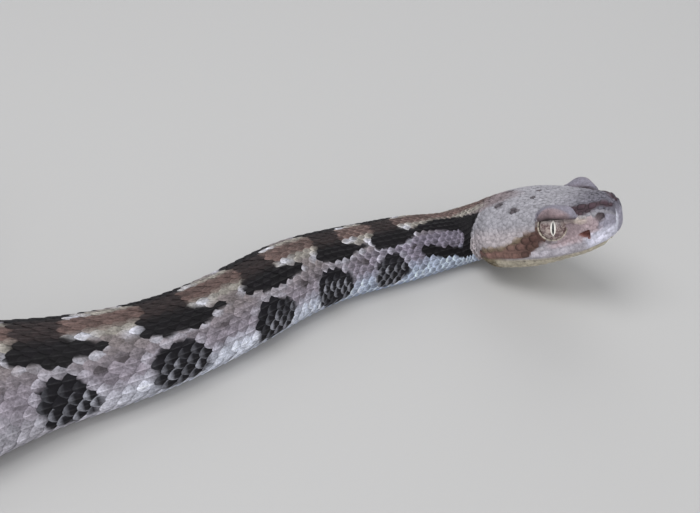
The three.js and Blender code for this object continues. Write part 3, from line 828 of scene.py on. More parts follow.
# Scales: each kind is modelled once, then copied along the lie of the coat.
def sheetShape(name, rows, columns, outline, relief):
    # A grid bent to an outline, with sides and one plain face underneath. Along and across run from -1 to 1.
    alone()
    bpy.ops.mesh.primitive_grid_add(x_subdivisions=rows, y_subdivisions=columns, size=2)
    piece = bpy.context.object
    bpy.ops.object.mode_set(mode="EDIT")
    bpy.ops.mesh.select_all(action="SELECT")
    bpy.ops.mesh.extrude_region_move(TRANSFORM_OT_translate={"value": (0, 0, 1)})
    bpy.ops.mesh.select_all(action="DESELECT")
    mesh = bmesh.from_edit_mesh(piece.data)
    for face in mesh.faces:
        if all(point.co.z < 0.5 for point in face.verts):
            face.select_set(True)
    bmesh.update_edit_mesh(piece.data)
    bpy.ops.mesh.dissolve_faces()
    mesh = bmesh.from_edit_mesh(piece.data)
    tops = [point.co.z > 0.5 for point in mesh.verts]
    for point, isTop in zip(mesh.verts, tops):
        x, y = point.co.x, point.co.y
        point.co = (*outline(x, y), relief(x, y, isTop))
    bmesh.update_edit_mesh(piece.data)
    bpy.ops.object.mode_set(mode="OBJECT")
    points = pointsOf(piece)
    faces = [list(face.vertices) for face in piece.data.polygons]
    low, high = points.min(0), points.max(0)
    bake = (points[:, :2] - (low + high)[:2] / 2) / (high - low)[:2]
    bake *= np.where(tops, 1, 1.2)[:, None]
    bpy.data.objects.remove(piece)
    print("modelled", name, len(faces), "faces")
    return {"points": points, "faces": faces, "bake": bake}


def rowAt(values, x):
    return float(np.interp(x, np.linspace(-1, 1, len(values)), values))


keeled = {
    "places": [0, 0.34, 0.7, 0.87, 1.0],  # along, from root to tip
    "widths": [0.62, 1.0, 0.88, 0.58, 0.16],
    "columns": [-1, -0.74, -0.2, 0, 0.2, 0.74, 1],
    "rise": 0.72,
    "keel": 0.34,
    "lowKeel": 0.16,
    "thick": 0.14,
}


def keeledOutline(x, y):
    across = rowAt(keeled["columns"], y)
    return rowAt(keeled["places"], x), across * rowAt(keeled["widths"], x)


def keeledRelief(keel):
    def relief(x, y, isTop):
        place = rowAt(keeled["places"], x)
        top = -0.95 + keeled["rise"] * place
        if not isTop:
            return top - keeled["thick"] - 0.25 * (1 - place)
        ridge = keel * (abs(y) < 0.1) * min(1, 5 * place) * min(1, 7 * (1.04 - place))
        return top - 0.16 * rowAt(keeled["columns"], y) ** 2 + ridge

    return relief


def roundOutline(corner):
    return lambda x, y: (x * (1 - corner * y * y), y * (1 - corner * x * x))


def domeRelief(tilt, dome, keel=0):
    def relief(x, y, isTop):
        edge = max(abs(x), abs(y))
        if not isTop:
            return -1.2 + tilt * x
        return tilt * x - dome * edge**2 + keel * (abs(y) < 0.1) * (edge < 0.9)

    return relief


keeledShape = sheetShape("keeled scale", 4, 6, keeledOutline, keeledRelief(keeled["keel"]))
lowKeelShape = sheetShape("low scale", 4, 6, keeledOutline, keeledRelief(keeled["lowKeel"]))
granuleShape = sheetShape("granule", 4, 4, roundOutline(0.3), domeRelief(0.3, 0.65, 0.15))
lipShape = sheetShape("lip shield", 5, 5, roundOutline(0.13), domeRelief(0.05, 0.45))
shieldShape = sheetShape("smooth shield", 8, 8, roundOutline(0.27), domeRelief(0.05, 0.55))
scuteShape = sheetShape(
    "belly scute", 3, 16,
    lambda x, y: ((x + 1) / 2 - 0.12 * y * y, y),
    lambda x, y, isTop: -0.95 + 0.9 * (x + 1) / 2 - (0 if isTop else 0.15),
)


def lay(shape, station, share, long, wide, tall, angle=0, lift=0):
    # Copies of a shape on the skin: each starts at its place and runs towards the tail.
    station, share, long, wide, tall, angle, lift = (
        np.asarray(value, float).reshape(-1, 1) + np.zeros((np.size(station), 1))
        for value in (station, share, long, wide, tall, angle, lift)
    )
    along, across, height = shape["points"].T
    x, y = along * long, across * wide
    turned = x * np.cos(angle) - y * np.sin(angle)
    sideways = x * np.sin(angle) + y * np.cos(angle)
    at = station + turned
    where = share + sideways / girthAt(station)
    return onSkin(at, where, height * tall + lift)


def patches(shape, station, share, span):
    # Each copy's patch of the bake map stands at its root's place on the unrolled skin.
    low, high = span
    root = np.stack([(np.asarray(station) - low) / (high - low), (np.asarray(share) + 1) / 2], 1)
    root = 0.01 + 0.98 * np.clip(root, 0, 1)
    return root[:, None, :] + 0.003 * shape["bake"][None]


class Coat:  # gathers copies of shapes into one mesh
    def __init__(self, name, span):
        self.name, self.span = name, span
        self.points, self.faces, self.colours, self.maps, self.count = [], [], [], [], 0

    def add(self, shape, points, colours, station, share):
        copies, each = points.shape[:2]
        first = self.count + each * np.arange(copies)
        for start in first.tolist():
            self.faces += [[start + corner for corner in face] for face in shape["faces"]]
        self.points.append(points.reshape(-1, 3))
        self.colours.append(np.broadcast_to(colours, points.shape).reshape(-1, 3))
        self.maps.append(patches(shape, station, share, self.span).reshape(-1, 2))
        self.count += copies * each

    def make(self, material, slot):
        piece = closedMesh(self.name, np.vstack(self.points), self.faces)
        paint(piece.data, np.vstack(self.colours))
        addBakeMap(piece.data, np.vstack(self.maps)[cornerPoints(piece.data)])
        finishPiece(piece, material)
        print(self.name, len(piece.data.polygons), "faces")
        return piece


# Back and flank scales: rings round the body, small on the neck and large at mid body,
# every other row half a ring further back.
rows = {
    "pitch": [
        (24.8, 1.3), (45, 1.42), (58, 1.55), (72, 1.7), (90, 2.0), (108, 2.2), (150, 2.35),
        (260, 2.3), (352, 1.6), (380, 1.1),
    ],
    "start": 24.8, "count": 25, "belly": 0.735, "overlap": 1.75, "wide": 0.84, "jitter": 0.035,
    "flat": 9,  # rows further than this from the back have low keels
    "sunk": 0.09, "unevenLift": 0.02, "unevenTurn": 0.03,
}
tailRows = {"start": 350, "last": 378.6, "count": 15, "belly": 0.74}


def ringStations(start):
    made = [start]
    while made[-1] < body["tailTip"] - 1.5:
        made.append(made[-1] + float(through(rows["pitch"], made[-1])))
    return np.array(made)


def rowShare(count, belly):
    x = np.arange(-(count // 2), count // 2 + 1) / (count / 2)
    return belly * (0.75 * x + 0.25 * x**3), belly * (0.75 + 0.75 * x**2) / (count / 2)


def dorsalScales(spec, low, high):
    shares, spacing = rowShare(spec["count"], spec["belly"])
    station, row = np.meshgrid(ringStations(spec["start"]), np.arange(spec["count"]), indexing="ij")
    pitch = through(rows["pitch"], station)
    station = station + np.where(row % 2 == 1, pitch / 2, 0)
    station, row, pitch = station.ravel(), row.ravel(), pitch.ravel()
    keep = (station >= low) & (station < high)
    station, row, pitch = station[keep], row[keep], pitch[keep]
    jitter = rows["jitter"]
    long = pitch * rows["overlap"] * (1 + jitter * chance.standard_normal(len(row)))
    wide = spacing[row] * girthAt(station) * rows["wide"]
    wide = wide * (1 + jitter * chance.standard_normal(len(row)))
    return station, shares[row], long, wide, np.abs(row - spec["count"] // 2)


scaleTone = {
    "jitter": 0.12,
    "drawn": 0.45,  # how far the marks cross a scale: 0 gives one colour to a scale
    "darkGround": 0.035,  # a scale darker than this has a black marking under it
    "root": 0.15,  # painted shade where the tip of the scale before it falls on the root: how much darker the root is, and how much more low on the flank
    "lowRootShade": 0.32,
    "core": 0.1,  # how much darker the middle is, and how much more on the neck
    "neckCore": 0.3,
    "rim": 0.15,  # how far the rim goes to a paler tone on pale ground, and how much more on the neck
    "neckRim": 0.5,
    "darkRim": 0.05,
    "spotRim": 0.76,
    # painted glint along the keel: how much lighter the keel is, and a lift added to it
    "keel": 0.35,
    "keelGlint": 0.016,
}


def coloursOver(shape, tone, station, share, long, wide, centre=0):
    # The markings over each copy of a shape, each copy a little lighter or darker than the next.
    along, across, _ = shape["points"].T
    at = station[:, None] + tone["drawn"] * (along - centre) * np.reshape(long, (-1, 1))
    where = share[:, None] + tone["drawn"] * across * np.reshape(wide / girthAt(station), (-1, 1))
    return coatColour(at, where) * (1 + tone["jitter"] * chance.standard_normal(len(station)))[:, None, None]


def scaleColours(shape, station, share, long, wide):
    # Darker in the middle and paler along the rim; painted shade at the root, under the tip of the scale before
    # it, and a painted glint along the keel.
    along, across, _ = shape["points"].T
    colour = coloursOver(shape, scaleTone, station + 0.5 * long, share, long, wide, 0.5)
    isDark = colour.mean(2) < scaleTone["darkGround"]
    edge = np.clip(np.abs(across) / np.interp(along, keeled["places"], keeled["widths"]), 0, 1)
    neck = (1 - smooth(50, 78, station))[:, None]
    low = np.abs(share)[:, None]
    isSpot = isDark & (low > 0.4) & (station > 44)[:, None] & (station < 300)[:, None]
    broad = 0.04 * isSpot
    tip = smooth(0.76 - broad, 0.95 - broad, along)
    rim = np.maximum(smooth(0.74 - broad, 1 - broad, edge) * smooth(0.3, 0.6, along), tip)
    patchy = chance.uniform(0, 1, len(station))[:, None]
    strength = (scaleTone["rim"] + scaleTone["neckRim"] * neck) * (0.7 + 0.5 * patchy)
    strength = np.where(isDark, scaleTone["darkRim"], strength)
    strength = np.where(isSpot, scaleTone["spotRim"] * patchy * smooth(0.36, 0.5, low), strength)
    rim = rim * np.clip(strength, 0, 1)
    pale = np.where(isSpot[..., None], 0.85 * shade["border"], np.minimum(1, colour * 1.75 + 0.04))
    inner = (1 - smooth(0.2, 0.75, edge)) * smooth(0.25, 0.5, along) * (1 - smooth(0.8, 0.98, along))
    core = inner * np.where(isDark, 0, scaleTone["core"] + scaleTone["neckCore"] * neck)
    # Painted shade: the root is darker where the tip of the scale before it shades it, more so low on the
    # flank.
    dark = (1 - smooth(0.3, 0.62, along)) * (scaleTone["root"] + scaleTone["lowRootShade"] * smooth(0.45, 0.6, low))
    # Painted glint along the keel on the rear half of each scale.
    ridge = ((np.abs(across) < 0.05) & (along > 0.5) & (along < 0.95))[:, None]
    result = colour * ((1 - dark) * (1 - core))[..., None]
    result = result * (1 + scaleTone["keel"] * ridge) + scaleTone["keelGlint"] * ridge
    return result * (1 - rim[..., None]) + pale * rim[..., None]


def makeBodyCoat(name, spec, low, high, slot):
    coat = Coat(name, (low, high))
    station, share, long, wide, row = dorsalScales(spec, low, high)
    tall = coatDepth(station + long / 2) * np.interp(long / rows["overlap"], [1.1, 1.9], [0.55, 1])
    tall = tall * np.interp(station, [24, 32], [0.7, 1])
    lift = rows["unevenLift"] * chance.standard_normal(len(station)) * tall - rows["sunk"]
    angle = rows["unevenTurn"] * chance.standard_normal(len(station))
    for shape, chosen in ((keeledShape, row <= rows["flat"]), (lowKeelShape, row > rows["flat"])):
        each = [value[chosen] for value in (station, share, long, wide, tall, angle, lift)]
        colours = scaleColours(shape, *each[:4])
        coat.add(shape, lay(shape, *each), colours, each[0], each[1])
    return coat.make(bodyHorn, slot)


pieceEnds = [24.8, 60, 130, 200, 270, 351]
for i, (low, high) in enumerate(zip(pieceEnds, pieceEnds[1:])):
    makeBodyCoat(f"scales_{i + 1}", rows, low, high, "body_scales")
makeBodyCoat("scales_tail", tailRows, tailRows["start"], tailRows["last"], "tail_scales")


# Belly scutes: broad plates across the belly, one to each ring of scales.
scutes = {"start": 27, "overlap": 1.5}


def makeScutes():
    coat = Coat("belly_scutes", (20, 380))
    station = ringStations(scutes["start"])
    long = through(rows["pitch"], station) * scutes["overlap"]
    wide = (1 - rows["belly"] + 0.012) * girthAt(station)
    share = np.ones(len(station))
    tall = coatDepth(station) * 0.9
    points = lay(scuteShape, station, share, long, wide, tall, 0, -0.01)
    along, across, _ = scuteShape["points"].T
    at = station[:, None] + 0 * across
    where = 1 + across * (1 - rows["belly"])
    # The root of each scute is painted darker: painted shade under the edge of the scute before it.
    colours = coatColour(at + 0.5 * long[:, None], where) * (1 - 0.25 * (1 - smooth(0, 0.4, along)))[:, None]
    coat.add(scuteShape, points, colours, station, share)
    return coat.make(bellyHorn, "body_scales")


makeScutes()

# Head scales: small granules strewn evenly, larger towards the nape and on the cheek, round fixed shields.
headScales = {
    "snout": 0.6, "crown": 0.64, "nape": 0.95, "cheek": 1.25, "chin": 1.3,  # distance from one to the next
    "stretch": 1.2,  # longer than wide
    "last": 26.2,
    "tries": 70000, "apart": 0.42, "settling": 3,
    "long": 0.76, "wide": 0.62,  # half of a granule's length and width, as a share of its spacing
    "thick": 0.07, "largeThick": 0.16, "napeThick": 0.05,  # the last two are added to the first
    "unevenTurn": 0.12, "sunk": 0.03, "shieldSunk": 0.06,
}


def spacingAt(station, share):
    size = headScales["snout"] + (headScales["crown"] - headScales["snout"]) * smooth(4, 9, station)
    size = size + (headScales["nape"] - headScales["crown"]) * smooth(13, 25, station)
    size = size + (headScales["cheek"] - size) * smooth(-0.6, 0, insideMark("cheekBand", station, share))
    return size + (headScales["chin"] - size) * smooth(0.68, 0.76, np.abs(share))


# Fixed shields of one side: name, shape, station, height of the middle (for a smooth shield its share of
# the girth), half length, half width, angle, thickness and colour.
headShields = [
    ("prenasal", lipShape, -0.35, 7.7, 0.5, 1.0, 0.1, 0.16, "prenasal"),
    ("postnasal", lipShape, 2.15, 8.2, 0.5, 0.85, 0.15, 0.16, "face"),
    ("internasal", shieldShape, 0.55, 0.1, 0.85, 0.95, 0.2, 0.2, None),
    ("canthal", shieldShape, 2.05, 0.175, 0.85, 0.8, 0.1, 0.2, None),
    ("canthalRear", shieldShape, 3.75, 0.19, 0.95, 0.75, 0.05, 0.2, None),
    ("loreal", lipShape, 3.6, 8.0, 0.85, 0.55, 0.1, 0.2, None),
    ("preocular", lipShape, 5.75, 8.3, 1.15, 0.5, 0.08, 0.2, "face"),
    ("preocularMiddle", lipShape, 5.7, 7.25, 1.05, 0.5, 0, 0.2, "face"),
    ("preocularLow", lipShape, 5.45, 6.2, 0.85, 0.5, -0.1, 0.2, "face"),
]
lipShields = {"count": 12, "start": 0.95, "pitch": 1.62, "above": 1.02, "below": 0.9, "slope": 0.8}
chinShields = [
    ("chinShield", shieldShape, 4.6, 0.9, 2.0, 0.95, 0, 0.2, None),
    ("chinShieldRear", shieldShape, 8.4, 0.91, 1.7, 0.85, 0, 0.2, None),
]


def lipRows():
    line, made = mouth["line"], []
    for i in range(lipShields["count"]):
        at = lipShields["start"] + i * lipShields["pitch"]
        low = through(line, at)
        angle = -float(through(line, at + 0.5) - through(line, at - 0.5)) * lipShields["slope"]
        made.append(("upperLip", lipShape, at, low + lipShields["above"], 0.85, 0.8, angle, 0.24, None))
        if 0 < i < lipShields["count"] - 1:
            made.append(("lowerLip", lipShape, at, low - lipShields["below"], 0.84, 0.62, angle, 0.22, None))
    return made


def shieldList():
    made = []
    for side in (1, -1):
        for row in headShields + lipRows() + chinShields:
            name, shape, station, place, long, wide, angle, tall, colour = row
            share = place if shape is shieldShape else abs(shareAtHeight(max(0, station), place))
            made.append((name, station, side * share, long, wide, side * angle, tall, shape, colour))
    return made


shields = shieldList()
brow = {  # inner, ridge and outer edge: distance from the middle of the head, and height
    "station": 7.8, "half": 3.55, "skew": 0.05, "inner": (3.1, 10.65), "ridge": (5.4, 11.45),
    "outer": (6.05, 10.15), "under": (10.2, 9.5, 9.75), "seat": (3.7, 5.35),
}


def isOpen(station, share):  # where granules may grow
    height = sample(skinHeights, station, share)
    away = np.abs(sample(skinSides, station, share))
    place = onSkin(station, share, 0)
    reach = 1 - ((station - brow["station"]) / brow["half"]) ** 2
    free = (reach < 0.15) | (away < 4.3 - 1.1 * np.maximum(0, reach)) | (height < 8.5)
    for side in (1, -1):
        far, over = fromEye(place, side)
        free &= ~((far < eye["discRadius"] + eye["clear"]) & (over > 0))
    free &= (fromNostril(station, height) > 1.15) & (insideBy(station, height, pit["outline"]) < -0.25)
    for _, x, y, long, wide, angle, *_ in shields:
        dx, dy = station - x, (share - y) * girthAt(station)
        u, v = dx * math.cos(angle) + dy * math.sin(angle), dy * math.cos(angle) - dx * math.sin(angle)
        free &= np.maximum(np.abs(u) / (long + 0.1), np.abs(v) / (wide + 0.1)) > 1
    lip = np.abs(height - through(mouth["line"], station))
    free &= ~((lip < 0.45) & (station < mouth["corner"]) & (np.abs(share) > 0.3))
    return free


def strewGranules():
    count = headScales["tries"]
    station = chance.uniform(-0.6, headScales["last"], count)
    share = chance.uniform(-1, 1, count)
    kept = chance.uniform(0, 1, count) < girthAt(station) / 24
    station, share = station[kept], share[kept]
    free = isOpen(station, share)
    station, share = station[free], share[free]
    size = spacingAt(station, share)
    x, y = station / headScales["stretch"], share * girthAt(station)
    chosen = np.zeros(len(x), bool)
    seedX, seedY, seedSize = np.empty(len(x)), np.empty(len(x)), np.empty(len(x))
    found = 0
    for i in range(len(x)):
        dx, dy = seedX[:found] - x[i], np.abs(seedY[:found] - y[i])
        if found and np.min(np.hypot(dx, dy) / (seedSize[:found] + size[i])) < headScales["apart"]:
            continue
        seedX[found], seedY[found], seedSize[found] = x[i], y[i], size[i]
        chosen[i] = True
        found += 1
    sx, sy = station[chosen], share[chosen]
    for _ in range(headScales["settling"]):  # each seed moves to the middle of what is nearest to it
        nearest = np.empty(len(x), int)
        for low in range(0, len(x), 2000):
            part = slice(low, low + 2000)
            dx = x[part, None] - sx[None] / headScales["stretch"]
            dy = y[part, None] - (sy * girthAt(sx))[None]
            nearest[part] = np.argmin(np.hypot(dx, dy) / spacingAt(sx, sy)[None], 1)
        total = np.maximum(1, np.bincount(nearest, minlength=len(sx)))
        sx = np.bincount(nearest, station, len(sx)) / total
        sy = np.bincount(nearest, share, len(sy)) / total
    good = isOpen(sx, sy)
    return sx[good], sy[good]


granuleTone = {
    "jitter": 0.07, "drawn": 0.45,
    "rim": 0.17, "darkRim": 2.6, "most": 0.75,  # how much darker the rim is, more so on dark ground
    "middle": 1.08,
}


def granuleColours(shape, station, share, long, wide):
    edge = np.abs(shape["points"][:, :2]).max(1)
    colour = coloursOver(shape, granuleTone, station, share, long, wide)
    band = np.minimum(1, 3 * np.maximum(0, 0.2 - colour.mean(2)))  # darker scales have stronger rims
    rim = smooth(0.4, 0.95, edge) * (granuleTone["rim"] + granuleTone["darkRim"] * band)
    return colour * (granuleTone["middle"] - np.minimum(granuleTone["most"], rim))[..., None]


def makeHeadScales():
    coat = Coat("head_scales", (-1, 27))
    station, share = strewGranules()
    print("granules", len(station))
    size = spacingAt(station, share)
    angle = headScales["unevenTurn"] * chance.standard_normal(len(station))
    tall = headScales["thick"] + headScales["largeThick"] * smooth(0.75, 1.2, size)
    tall = tall + headScales["napeThick"] * smooth(17, 26, station)
    long, wide = size * headScales["long"], size * headScales["wide"]
    points = lay(granuleShape, station, share, long, wide, tall, angle, -headScales["sunk"])
    coat.add(granuleShape, points, granuleColours(granuleShape, station, share, long, wide), station, share)
    return coat.make(headHorn, "head_scales")


def makeShields():
    upper, lower = Coat("head_shields", (-1, 27)), Coat("jaw_shields", (-1, 27))
    for name, station, share, long, wide, angle, tall, shape, colour in shields:
        points = lay(shape, [station], [share], long, wide, tall, angle, -headScales["shieldSunk"])
        colours = granuleColours(shape, np.array([station]), np.array([share]), long, wide)
        if colour:
            colours = 0.5 * colours + 0.5 * shade[colour]
        coat = lower if name.startswith(("lowerLip", "chin")) else upper
        coat.add(shape, points, colours, [station], [share])
    return upper, lower


visorShape = sheetShape("brow shield", 14, 8, lambda x, y: (x, y), lambda x, y, isTop: 1 if isTop else -1)


def addBrow(coat, side):  # a smooth shield that rises from the crown and juts out over the eye
    x, y, z = visorShape["points"].T
    x, y = x * np.sqrt(1 - y * y / 2), y * np.sqrt(1 - x * x / 2)  # the square sheet becomes round
    isTop = z > 0
    station = brow["station"] + brow["half"] * x
    t = (y + 1) / 2
    (inSide, inHeight), (topSide, topHeight), (outSide, outHeight) = brow["inner"], brow["ridge"], brow["outer"]
    across = inSide + (outSide - inSide) * t
    fall = np.where(
        across < topSide,
        (topHeight - inHeight) * ((topSide - across) / (topSide - inSide)) ** 2,
        (topHeight - outHeight) * ((across - topSide) / (outSide - topSide)) ** 2,
    )
    under = np.interp(t, [0, 0.6, 1], brow["under"])
    height = np.where(isTop, topHeight - fall, under)
    raised = framePoint(station, side * across, height)
    low, high = (shareAtSide(brow["station"], value) for value in brow["seat"])
    seat = onSkin(station, side * (low + (high - low) * t), np.where(isTop, -0.03, -0.5))
    skew = np.clip(x + brow["skew"] * (1 - x * x), -1, 1)
    share = ((1 - skew**2) ** 0.65)[:, None]
    points = seat * (1 - share) + raised * share
    top = mix("brow", "browLip", smooth(0.72, 0.92, t))
    # Painted shade: a dark line in the crease along the inner edge, another under the outer edge, and a dark
    # underside.
    top = mix(top, "browShade", 0.6 * (1 - smooth(0.04, 0.2, t)) + 0.5 * smooth(0.94, 1, t))
    colours = np.where(isTop[:, None], top, shade["browShade"])
    coat.add(visorShape, points[None], colours[None], [brow["station"]], [side * 0.23])


ring = {"count": 17, "inner": 2.24, "outer": 2.86, "tall": 0.26, "lift": 0.28, "tilt": 0.1, "fill": 1.04}


def addEyeRing(coat, side):  # small scales round the eye
    centre, across, rise, out = eyeFrame(side)
    x, y, z = lipShape["points"].T
    for i in range(ring["count"]):
        turn = 2 * math.pi * (i + 0.5) / ring["count"]
        around = turn + y * math.pi / ring["count"] * ring["fill"]
        far = (ring["inner"] + ring["outer"]) / 2 + x * (ring["outer"] - ring["inner"]) / 2
        lift = eyeRim + ring["lift"] + z * ring["tall"] + ring["tilt"] * x
        points = (
            centre
            + (far * np.cos(around))[:, None] * across
            + (far * np.sin(around))[:, None] * rise
            + lift[:, None] * out
        )
        tone = 0.85 + 0.1 * chance.standard_normal()
        pale = smooth(-0.3, -0.7, x)[:, None]
        behind, below = side * math.cos(turn), -math.sin(turn)  # towards the tail and the lip
        ground = coatColour(eye["station"] + 2.9 * behind, side * (0.42 + 0.1 * below))
        colours = tone * (shade["eyeRing"] * pale + 0.9 * ground * (1 - pale))
        place = eye["station"] + 2.5 * behind, side * (0.4 + 0.1 * below)
        coat.add(lipShape, points[None], colours[None], *np.reshape(place, (2, 1)))


rostral = {"height": 6.8, "wide": 1.15, "tall": 2.5, "thick": 0.16}


def onSnout(side, height, proud):  # a place on the front of the snout
    half = body["halfWidths"][0][1]
    top, bottom = body["backHeights"][0][1], body["bellyHeights"][0][1]
    middle, tall = (top + bottom) / 2, (top - bottom) / 2
    reach = np.minimum(1, (np.abs(side / half) ** 2.6 + np.abs((height - middle) / tall) ** 2.6) ** (1 / 2.6))
    ahead = body["snoutRound"] * np.sqrt(1 - reach**2)
    return framePoint(lean(np.zeros_like(height), height) - ahead - proud, side, height)


def addRostral(coat):
    x, y, z = shieldShape["points"].T
    height = rostral["height"] - x * rostral["tall"]
    side = y * rostral["wide"] * (1 + 0.12 * x)
    points = onSnout(side, height, rostral["thick"] * z)
    rim = smooth(0.6, 0.85, np.abs(y))[:, None]
    fall = smooth(9.2, 7.4, height)[:, None]
    colours = (shade["snoutTop"] * (1 - fall) + shade["prenasal"] * fall) * (1 - rim) + shade["border"] * rim
    coat.add(shieldShape, points[None], colours[None], [-0.9], [0])


makeHeadScales()
upperShields, lowerShields = makeShields()
for side in (1, -1):
    addBrow(upperShields, side)
    addEyeRing(upperShields, side)
addRostral(upperShields)
upperShields.make(headHorn, "head_scales")
lowerShields.make(headHorn, "jaw_scales")


# Eyes: a ball under its clear spectacle, marbled iris, upright slit of a pupil with a pale edge.
iris = {
    "light": "#a4958f", "dark": "#5c4848", "rim": "#3a2e2b", "ring": "#e0dcd4",
    # upper: a paler upper iris, partly its own colour, partly painted reflection of the sky
    "upper": "#a9a3a3", "pupil": "#040304",
    "slitSize": (0.2, 1.14), "ringSize": (0.46, 1.42), "pointed": 2.6,
    "ahead": 0.24,  # how far the slit stands ahead of the middle of the eye
    "lean": 12,  # the slit leans forward from the head's own upright, so that it stands upright
}


def eyeMaterial():
    # Wet living eye: glossy film over a marbled iris.
    film = {"IOR": 1.38, "Roughness": 0.12, "Coat Weight": 0.6, "Coat Roughness": 0.03}
    material, tree, shader = newMaterial("WetEyeUnderClearSpectacle", film)
    place = addNode(tree, "ShaderNodeAttribute", {"attribute_name": "eyePlace"}).outputs["Vector"]
    apart = addNode(tree, "ShaderNodeSeparateXYZ", links={"Vector": place}).outputs
    flat = addNode(tree, "ShaderNodeCombineXYZ", links={0: apart["X"], 1: apart["Y"]}).outputs[0]
    radius = addNode(tree, "ShaderNodeVectorMath", {"operation": "LENGTH"}, {0: flat}).outputs["Value"]

    def pointedOval(*sizes):  # less than 1 inside it
        shares = []
        for axis, size in zip("XY", sizes):
            away = addNode(tree, "ShaderNodeMath", {"operation": "ABSOLUTE"}, {0: apart[axis]}).outputs[0]
            part = addNode(tree, "ShaderNodeMath", {"operation": "DIVIDE", 1: size}, {0: away}).outputs[0]
            shares.append(part)
        bend = {"operation": "POWER", 1: iris["pointed"]}
        bent = addNode(tree, "ShaderNodeMath", bend, {0: shares[1]}).outputs[0]
        return addNode(tree, "ShaderNodeMath", {"operation": "ADD"}, {0: shares[0], 1: bent}).outputs[0]

    veins = {"Scale": 1.6, "Detail": 6, "Roughness": 0.65, "Distortion": 0.8}
    marble = addNode(tree, "ShaderNodeTexNoise", veins, {"Vector": place}).outputs["Fac"]
    layers = (  # where, from none at the first value to the most at the second, the most, colour
        (marble, 0.4, 0.62, 1, "light"),
        # paler upper iris: partly its own colour, partly painted reflection of the sky
        (apart["Y"], 0.3, 1.5, 0.55, "upper"),
        (radius, 2.08, 2.32, 1, "rim"),
        (pointedOval(*iris["ringSize"]), 1, 0.84, 1, "ring"),
        (pointedOval(*iris["slitSize"]), 1, 0.88, 1, "pupil"),
    )
    colour = None
    for where, none, full, most, name in layers:
        steps = {"interpolation_type": "SMOOTHSTEP", "From Min": none, "From Max": full, "To Max": most}
        share = addNode(tree, "ShaderNodeMapRange", steps, {"Value": where}).outputs["Result"]
        tints = {"data_type": "RGBA", 6: (*linear(iris["dark"]), 1), 7: (*linear(iris[name]), 1)}
        links = {0: share} if colour is None else {0: share, 6: colour}
        colour = addNode(tree, "ShaderNodeMix", tints, links).outputs[2]
    setNode(tree, shader, links={"Base Color": colour})
    return material


wetEye = eyeMaterial()


def makeEye(name, side):
    centre, across, rise, out = eyeFrame(side)
    piece, local = addBall(name, 72, 40)
    local *= eye["radius"] - 0.02
    lean = side * math.radians(iris["lean"])
    turned = across * math.cos(lean) + rise * math.sin(lean)
    upright = rise * math.cos(lean) - across * math.sin(lean)
    shapeBall(piece, centre + local[:, :1] * turned + local[:, 1:2] * upright + local[:, 2:] * out)
    local[:, 0] += side * iris["ahead"]
    layer = piece.data.attributes.new("eyePlace", "FLOAT_VECTOR", "POINT")
    layer.data.foreach_set("vector", local.astype(np.float32).ravel())
    finishPiece(piece, wetEye, 80)
    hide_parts(name)


makeEye("eye_left", 1)
makeEye("eye_right", -1)
print("eyes made")


# Rattle: loose horny rings, each a shed cap with two swellings; the last one is the first button.
rattle = {
    "segments": 3, "length": 2.3, "gap": 0.3, "half": 1.72, "taper": 0.12, "narrow": 0.78, "deep": 1.25,
    "groove": 0.16,  # depth of the groove along each side
    "lobes": [0.5, 0.82, 0.98, 1, 0.9, 0.74, 0.76, 0.88, 0.86, 0.7, 0.58],
    "buttonLobes": [0.5, 0.82, 0.97, 1, 0.9, 0.76, 0.74, 0.72, 0.62, 0.45, 0.2],
    "dark": "#544836", "light": "#9c8a68",
}


def hornMaterial():
    # Dry old horn: straw brown, dull, finely ringed.
    material, tree, shader = newMaterial("DryRattleHorn", {"IOR": 1.52})
    place = addNode(tree, "ShaderNodeTexCoord").outputs["Object"]
    growth = {"Scale": 1 / 0.0012, "Detail": 5}  # cloudy, about 1 mm across
    clouds = addNode(tree, "ShaderNodeTexNoise", growth, {"Vector": place}).outputs["Fac"]
    ramp = addNode(tree, "ShaderNodeValToRGB", links={"Fac": clouds})
    for point, at, name in zip(ramp.color_ramp.elements, (0.3, 0.72), ("dark", "light")):
        point.position, point.color = at, (*linear(rattle[name]), 1)
    rough = addNode(tree, "ShaderNodeMapRange", {"To Min": 0.4, "To Max": 0.62}, {"Value": clouds}).outputs[0]
    rise = {"Strength": 0.5, "Distance": 0.00006}
    relief = addNode(tree, "ShaderNodeBump", rise, {"Height": clouds}).outputs[0]
    setNode(tree, shader, links={"Base Color": ramp.outputs["Color"], "Roughness": rough, "Normal": relief})
    return material


dryHorn = hornMaterial()


def makeRattle(k):
    lobes = rattle["buttonLobes" if k == rattle["segments"] - 1 else "lobes"]
    long = rattle["length"] - rattle["gap"]
    piece, local = addBall(f"rattle_{k + 1}", 40, 24)
    tip = np.array(float(body["tailTip"]))
    _, forward, left, up = spineAt(body["tailTip"])
    start = rattle["gap"] + k * rattle["length"]
    middle = framePoint(tip, 0 * tip, through(body["backHeights"], tip) / 2) - forward * start
    along = np.arccos(np.clip(local[:, 2], -1, 1)) / math.pi
    radius = np.interp(along, np.linspace(0.04, 0.96, len(lobes)), lobes)
    radius = radius * smooth(-0.02, 0.06, along) * smooth(-0.02, 0.06, 1 - along)  # both ends close
    radius = radius * (rattle["half"] - rattle["taper"] * k)
    turn = np.arctan2(local[:, 1], local[:, 0])
    waist = 1 - rattle["groove"] * np.abs(np.cos(turn)) ** 6
    side = radius * np.cos(turn) * rattle["narrow"] * waist
    high = radius * np.sin(turn) * rattle["deep"]
    shapeBall(piece, middle + side[:, None] * left + high[:, None] * up - (along * long)[:, None] * forward)
    finishPiece(piece, dryHorn, 60)
    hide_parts(f"rattle_{k + 1}")


for k in range(rattle["segments"]):
    makeRattle(k)
print("rattle made")


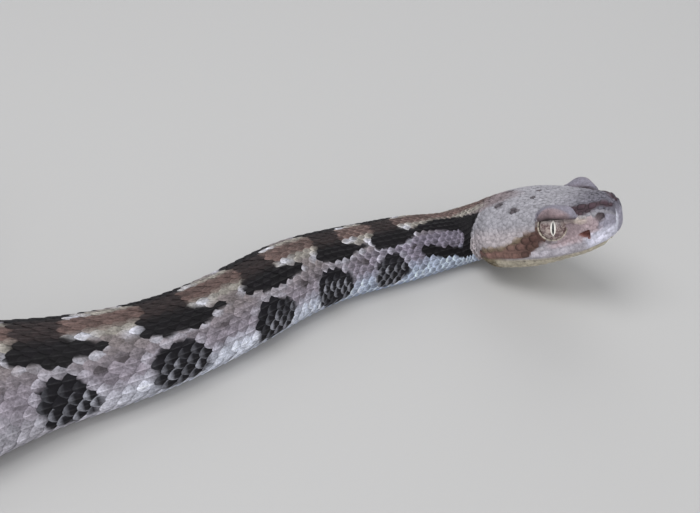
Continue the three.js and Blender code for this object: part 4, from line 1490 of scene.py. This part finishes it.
# Stage: pale floor, soft studio light, the camera above the floor.
stage = {
    "floorSize": 12, "floor": "#acabaa",
    "air": (0.92, 0.95, 1, 1), "airStrength": 0.5,
    "lights": {  # place, size and power
        "KeySoftbox": ((-0.2, -0.1, 0.75), 0.5, 4.3),
        "FrontSoftbox": ((-0.05, -0.7, 0.3), 0.9, 3.4),
        "FillSoftbox": ((0.6, -0.45, 0.45), 0.7, 1.3),
        "BackSoftbox": ((0.2, 0.7, 0.5), 0.6, 1.6),
    },
}
view = {
    "place": (0.04941, -0.10675, 0.098),
    "down": 36,
    "focal": 900, "frame": 700,  # in pixels
    "sensor": 36,
}


def makeStage():
    alone()
    bpy.ops.mesh.primitive_plane_add(size=stage["floorSize"])
    floor = bpy.context.object
    floor.name = "floor"
    paintwork = {"Base Color": (*linear(stage["floor"]), 1), "Roughness": 0.8}
    floor.data.materials.append(newMaterial("PaintedStudioFloor", paintwork)[0])
    floor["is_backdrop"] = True
    for name, (place, size, power) in stage["lights"].items():
        light = bpy.data.lights.new(name, "AREA")
        light.size = size
        light.energy = power
        lamp = bpy.data.objects.new(name, light)
        lamp.location = place
        lamp.rotation_euler = (Vector((0, 0, 0.01)) - Vector(place)).to_track_quat("-Z", "Y").to_euler()
        bpy.context.collection.objects.link(lamp)
    world = bpy.data.worlds.new("StudioAir")
    world.use_nodes = True
    world.node_tree.nodes["Background"].inputs[0].default_value = stage["air"]
    world.node_tree.nodes["Background"].inputs[1].default_value = stage["airStrength"]
    bpy.context.scene.world = world
    bpy.context.scene.view_settings.view_transform = "Standard"


def makeCamera():
    data = bpy.data.cameras.new("Camera")
    data.sensor_width = view["sensor"]
    data.lens = view["sensor"] * view["focal"] / view["frame"]
    data.clip_start = 0.005
    camera = bpy.data.objects.new("Camera", data)
    camera.location = view["place"]
    camera.rotation_euler = (math.radians(90 - view["down"]), 0, 0)
    bpy.context.collection.objects.link(camera)
    bpy.context.scene.camera = camera


makeStage()
makeCamera()

plain = lambda box: [[float(v) for v in corner] for corner in box]
{"cad": plain(cadBox), "visual": plain(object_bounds())}
print("pieces done")
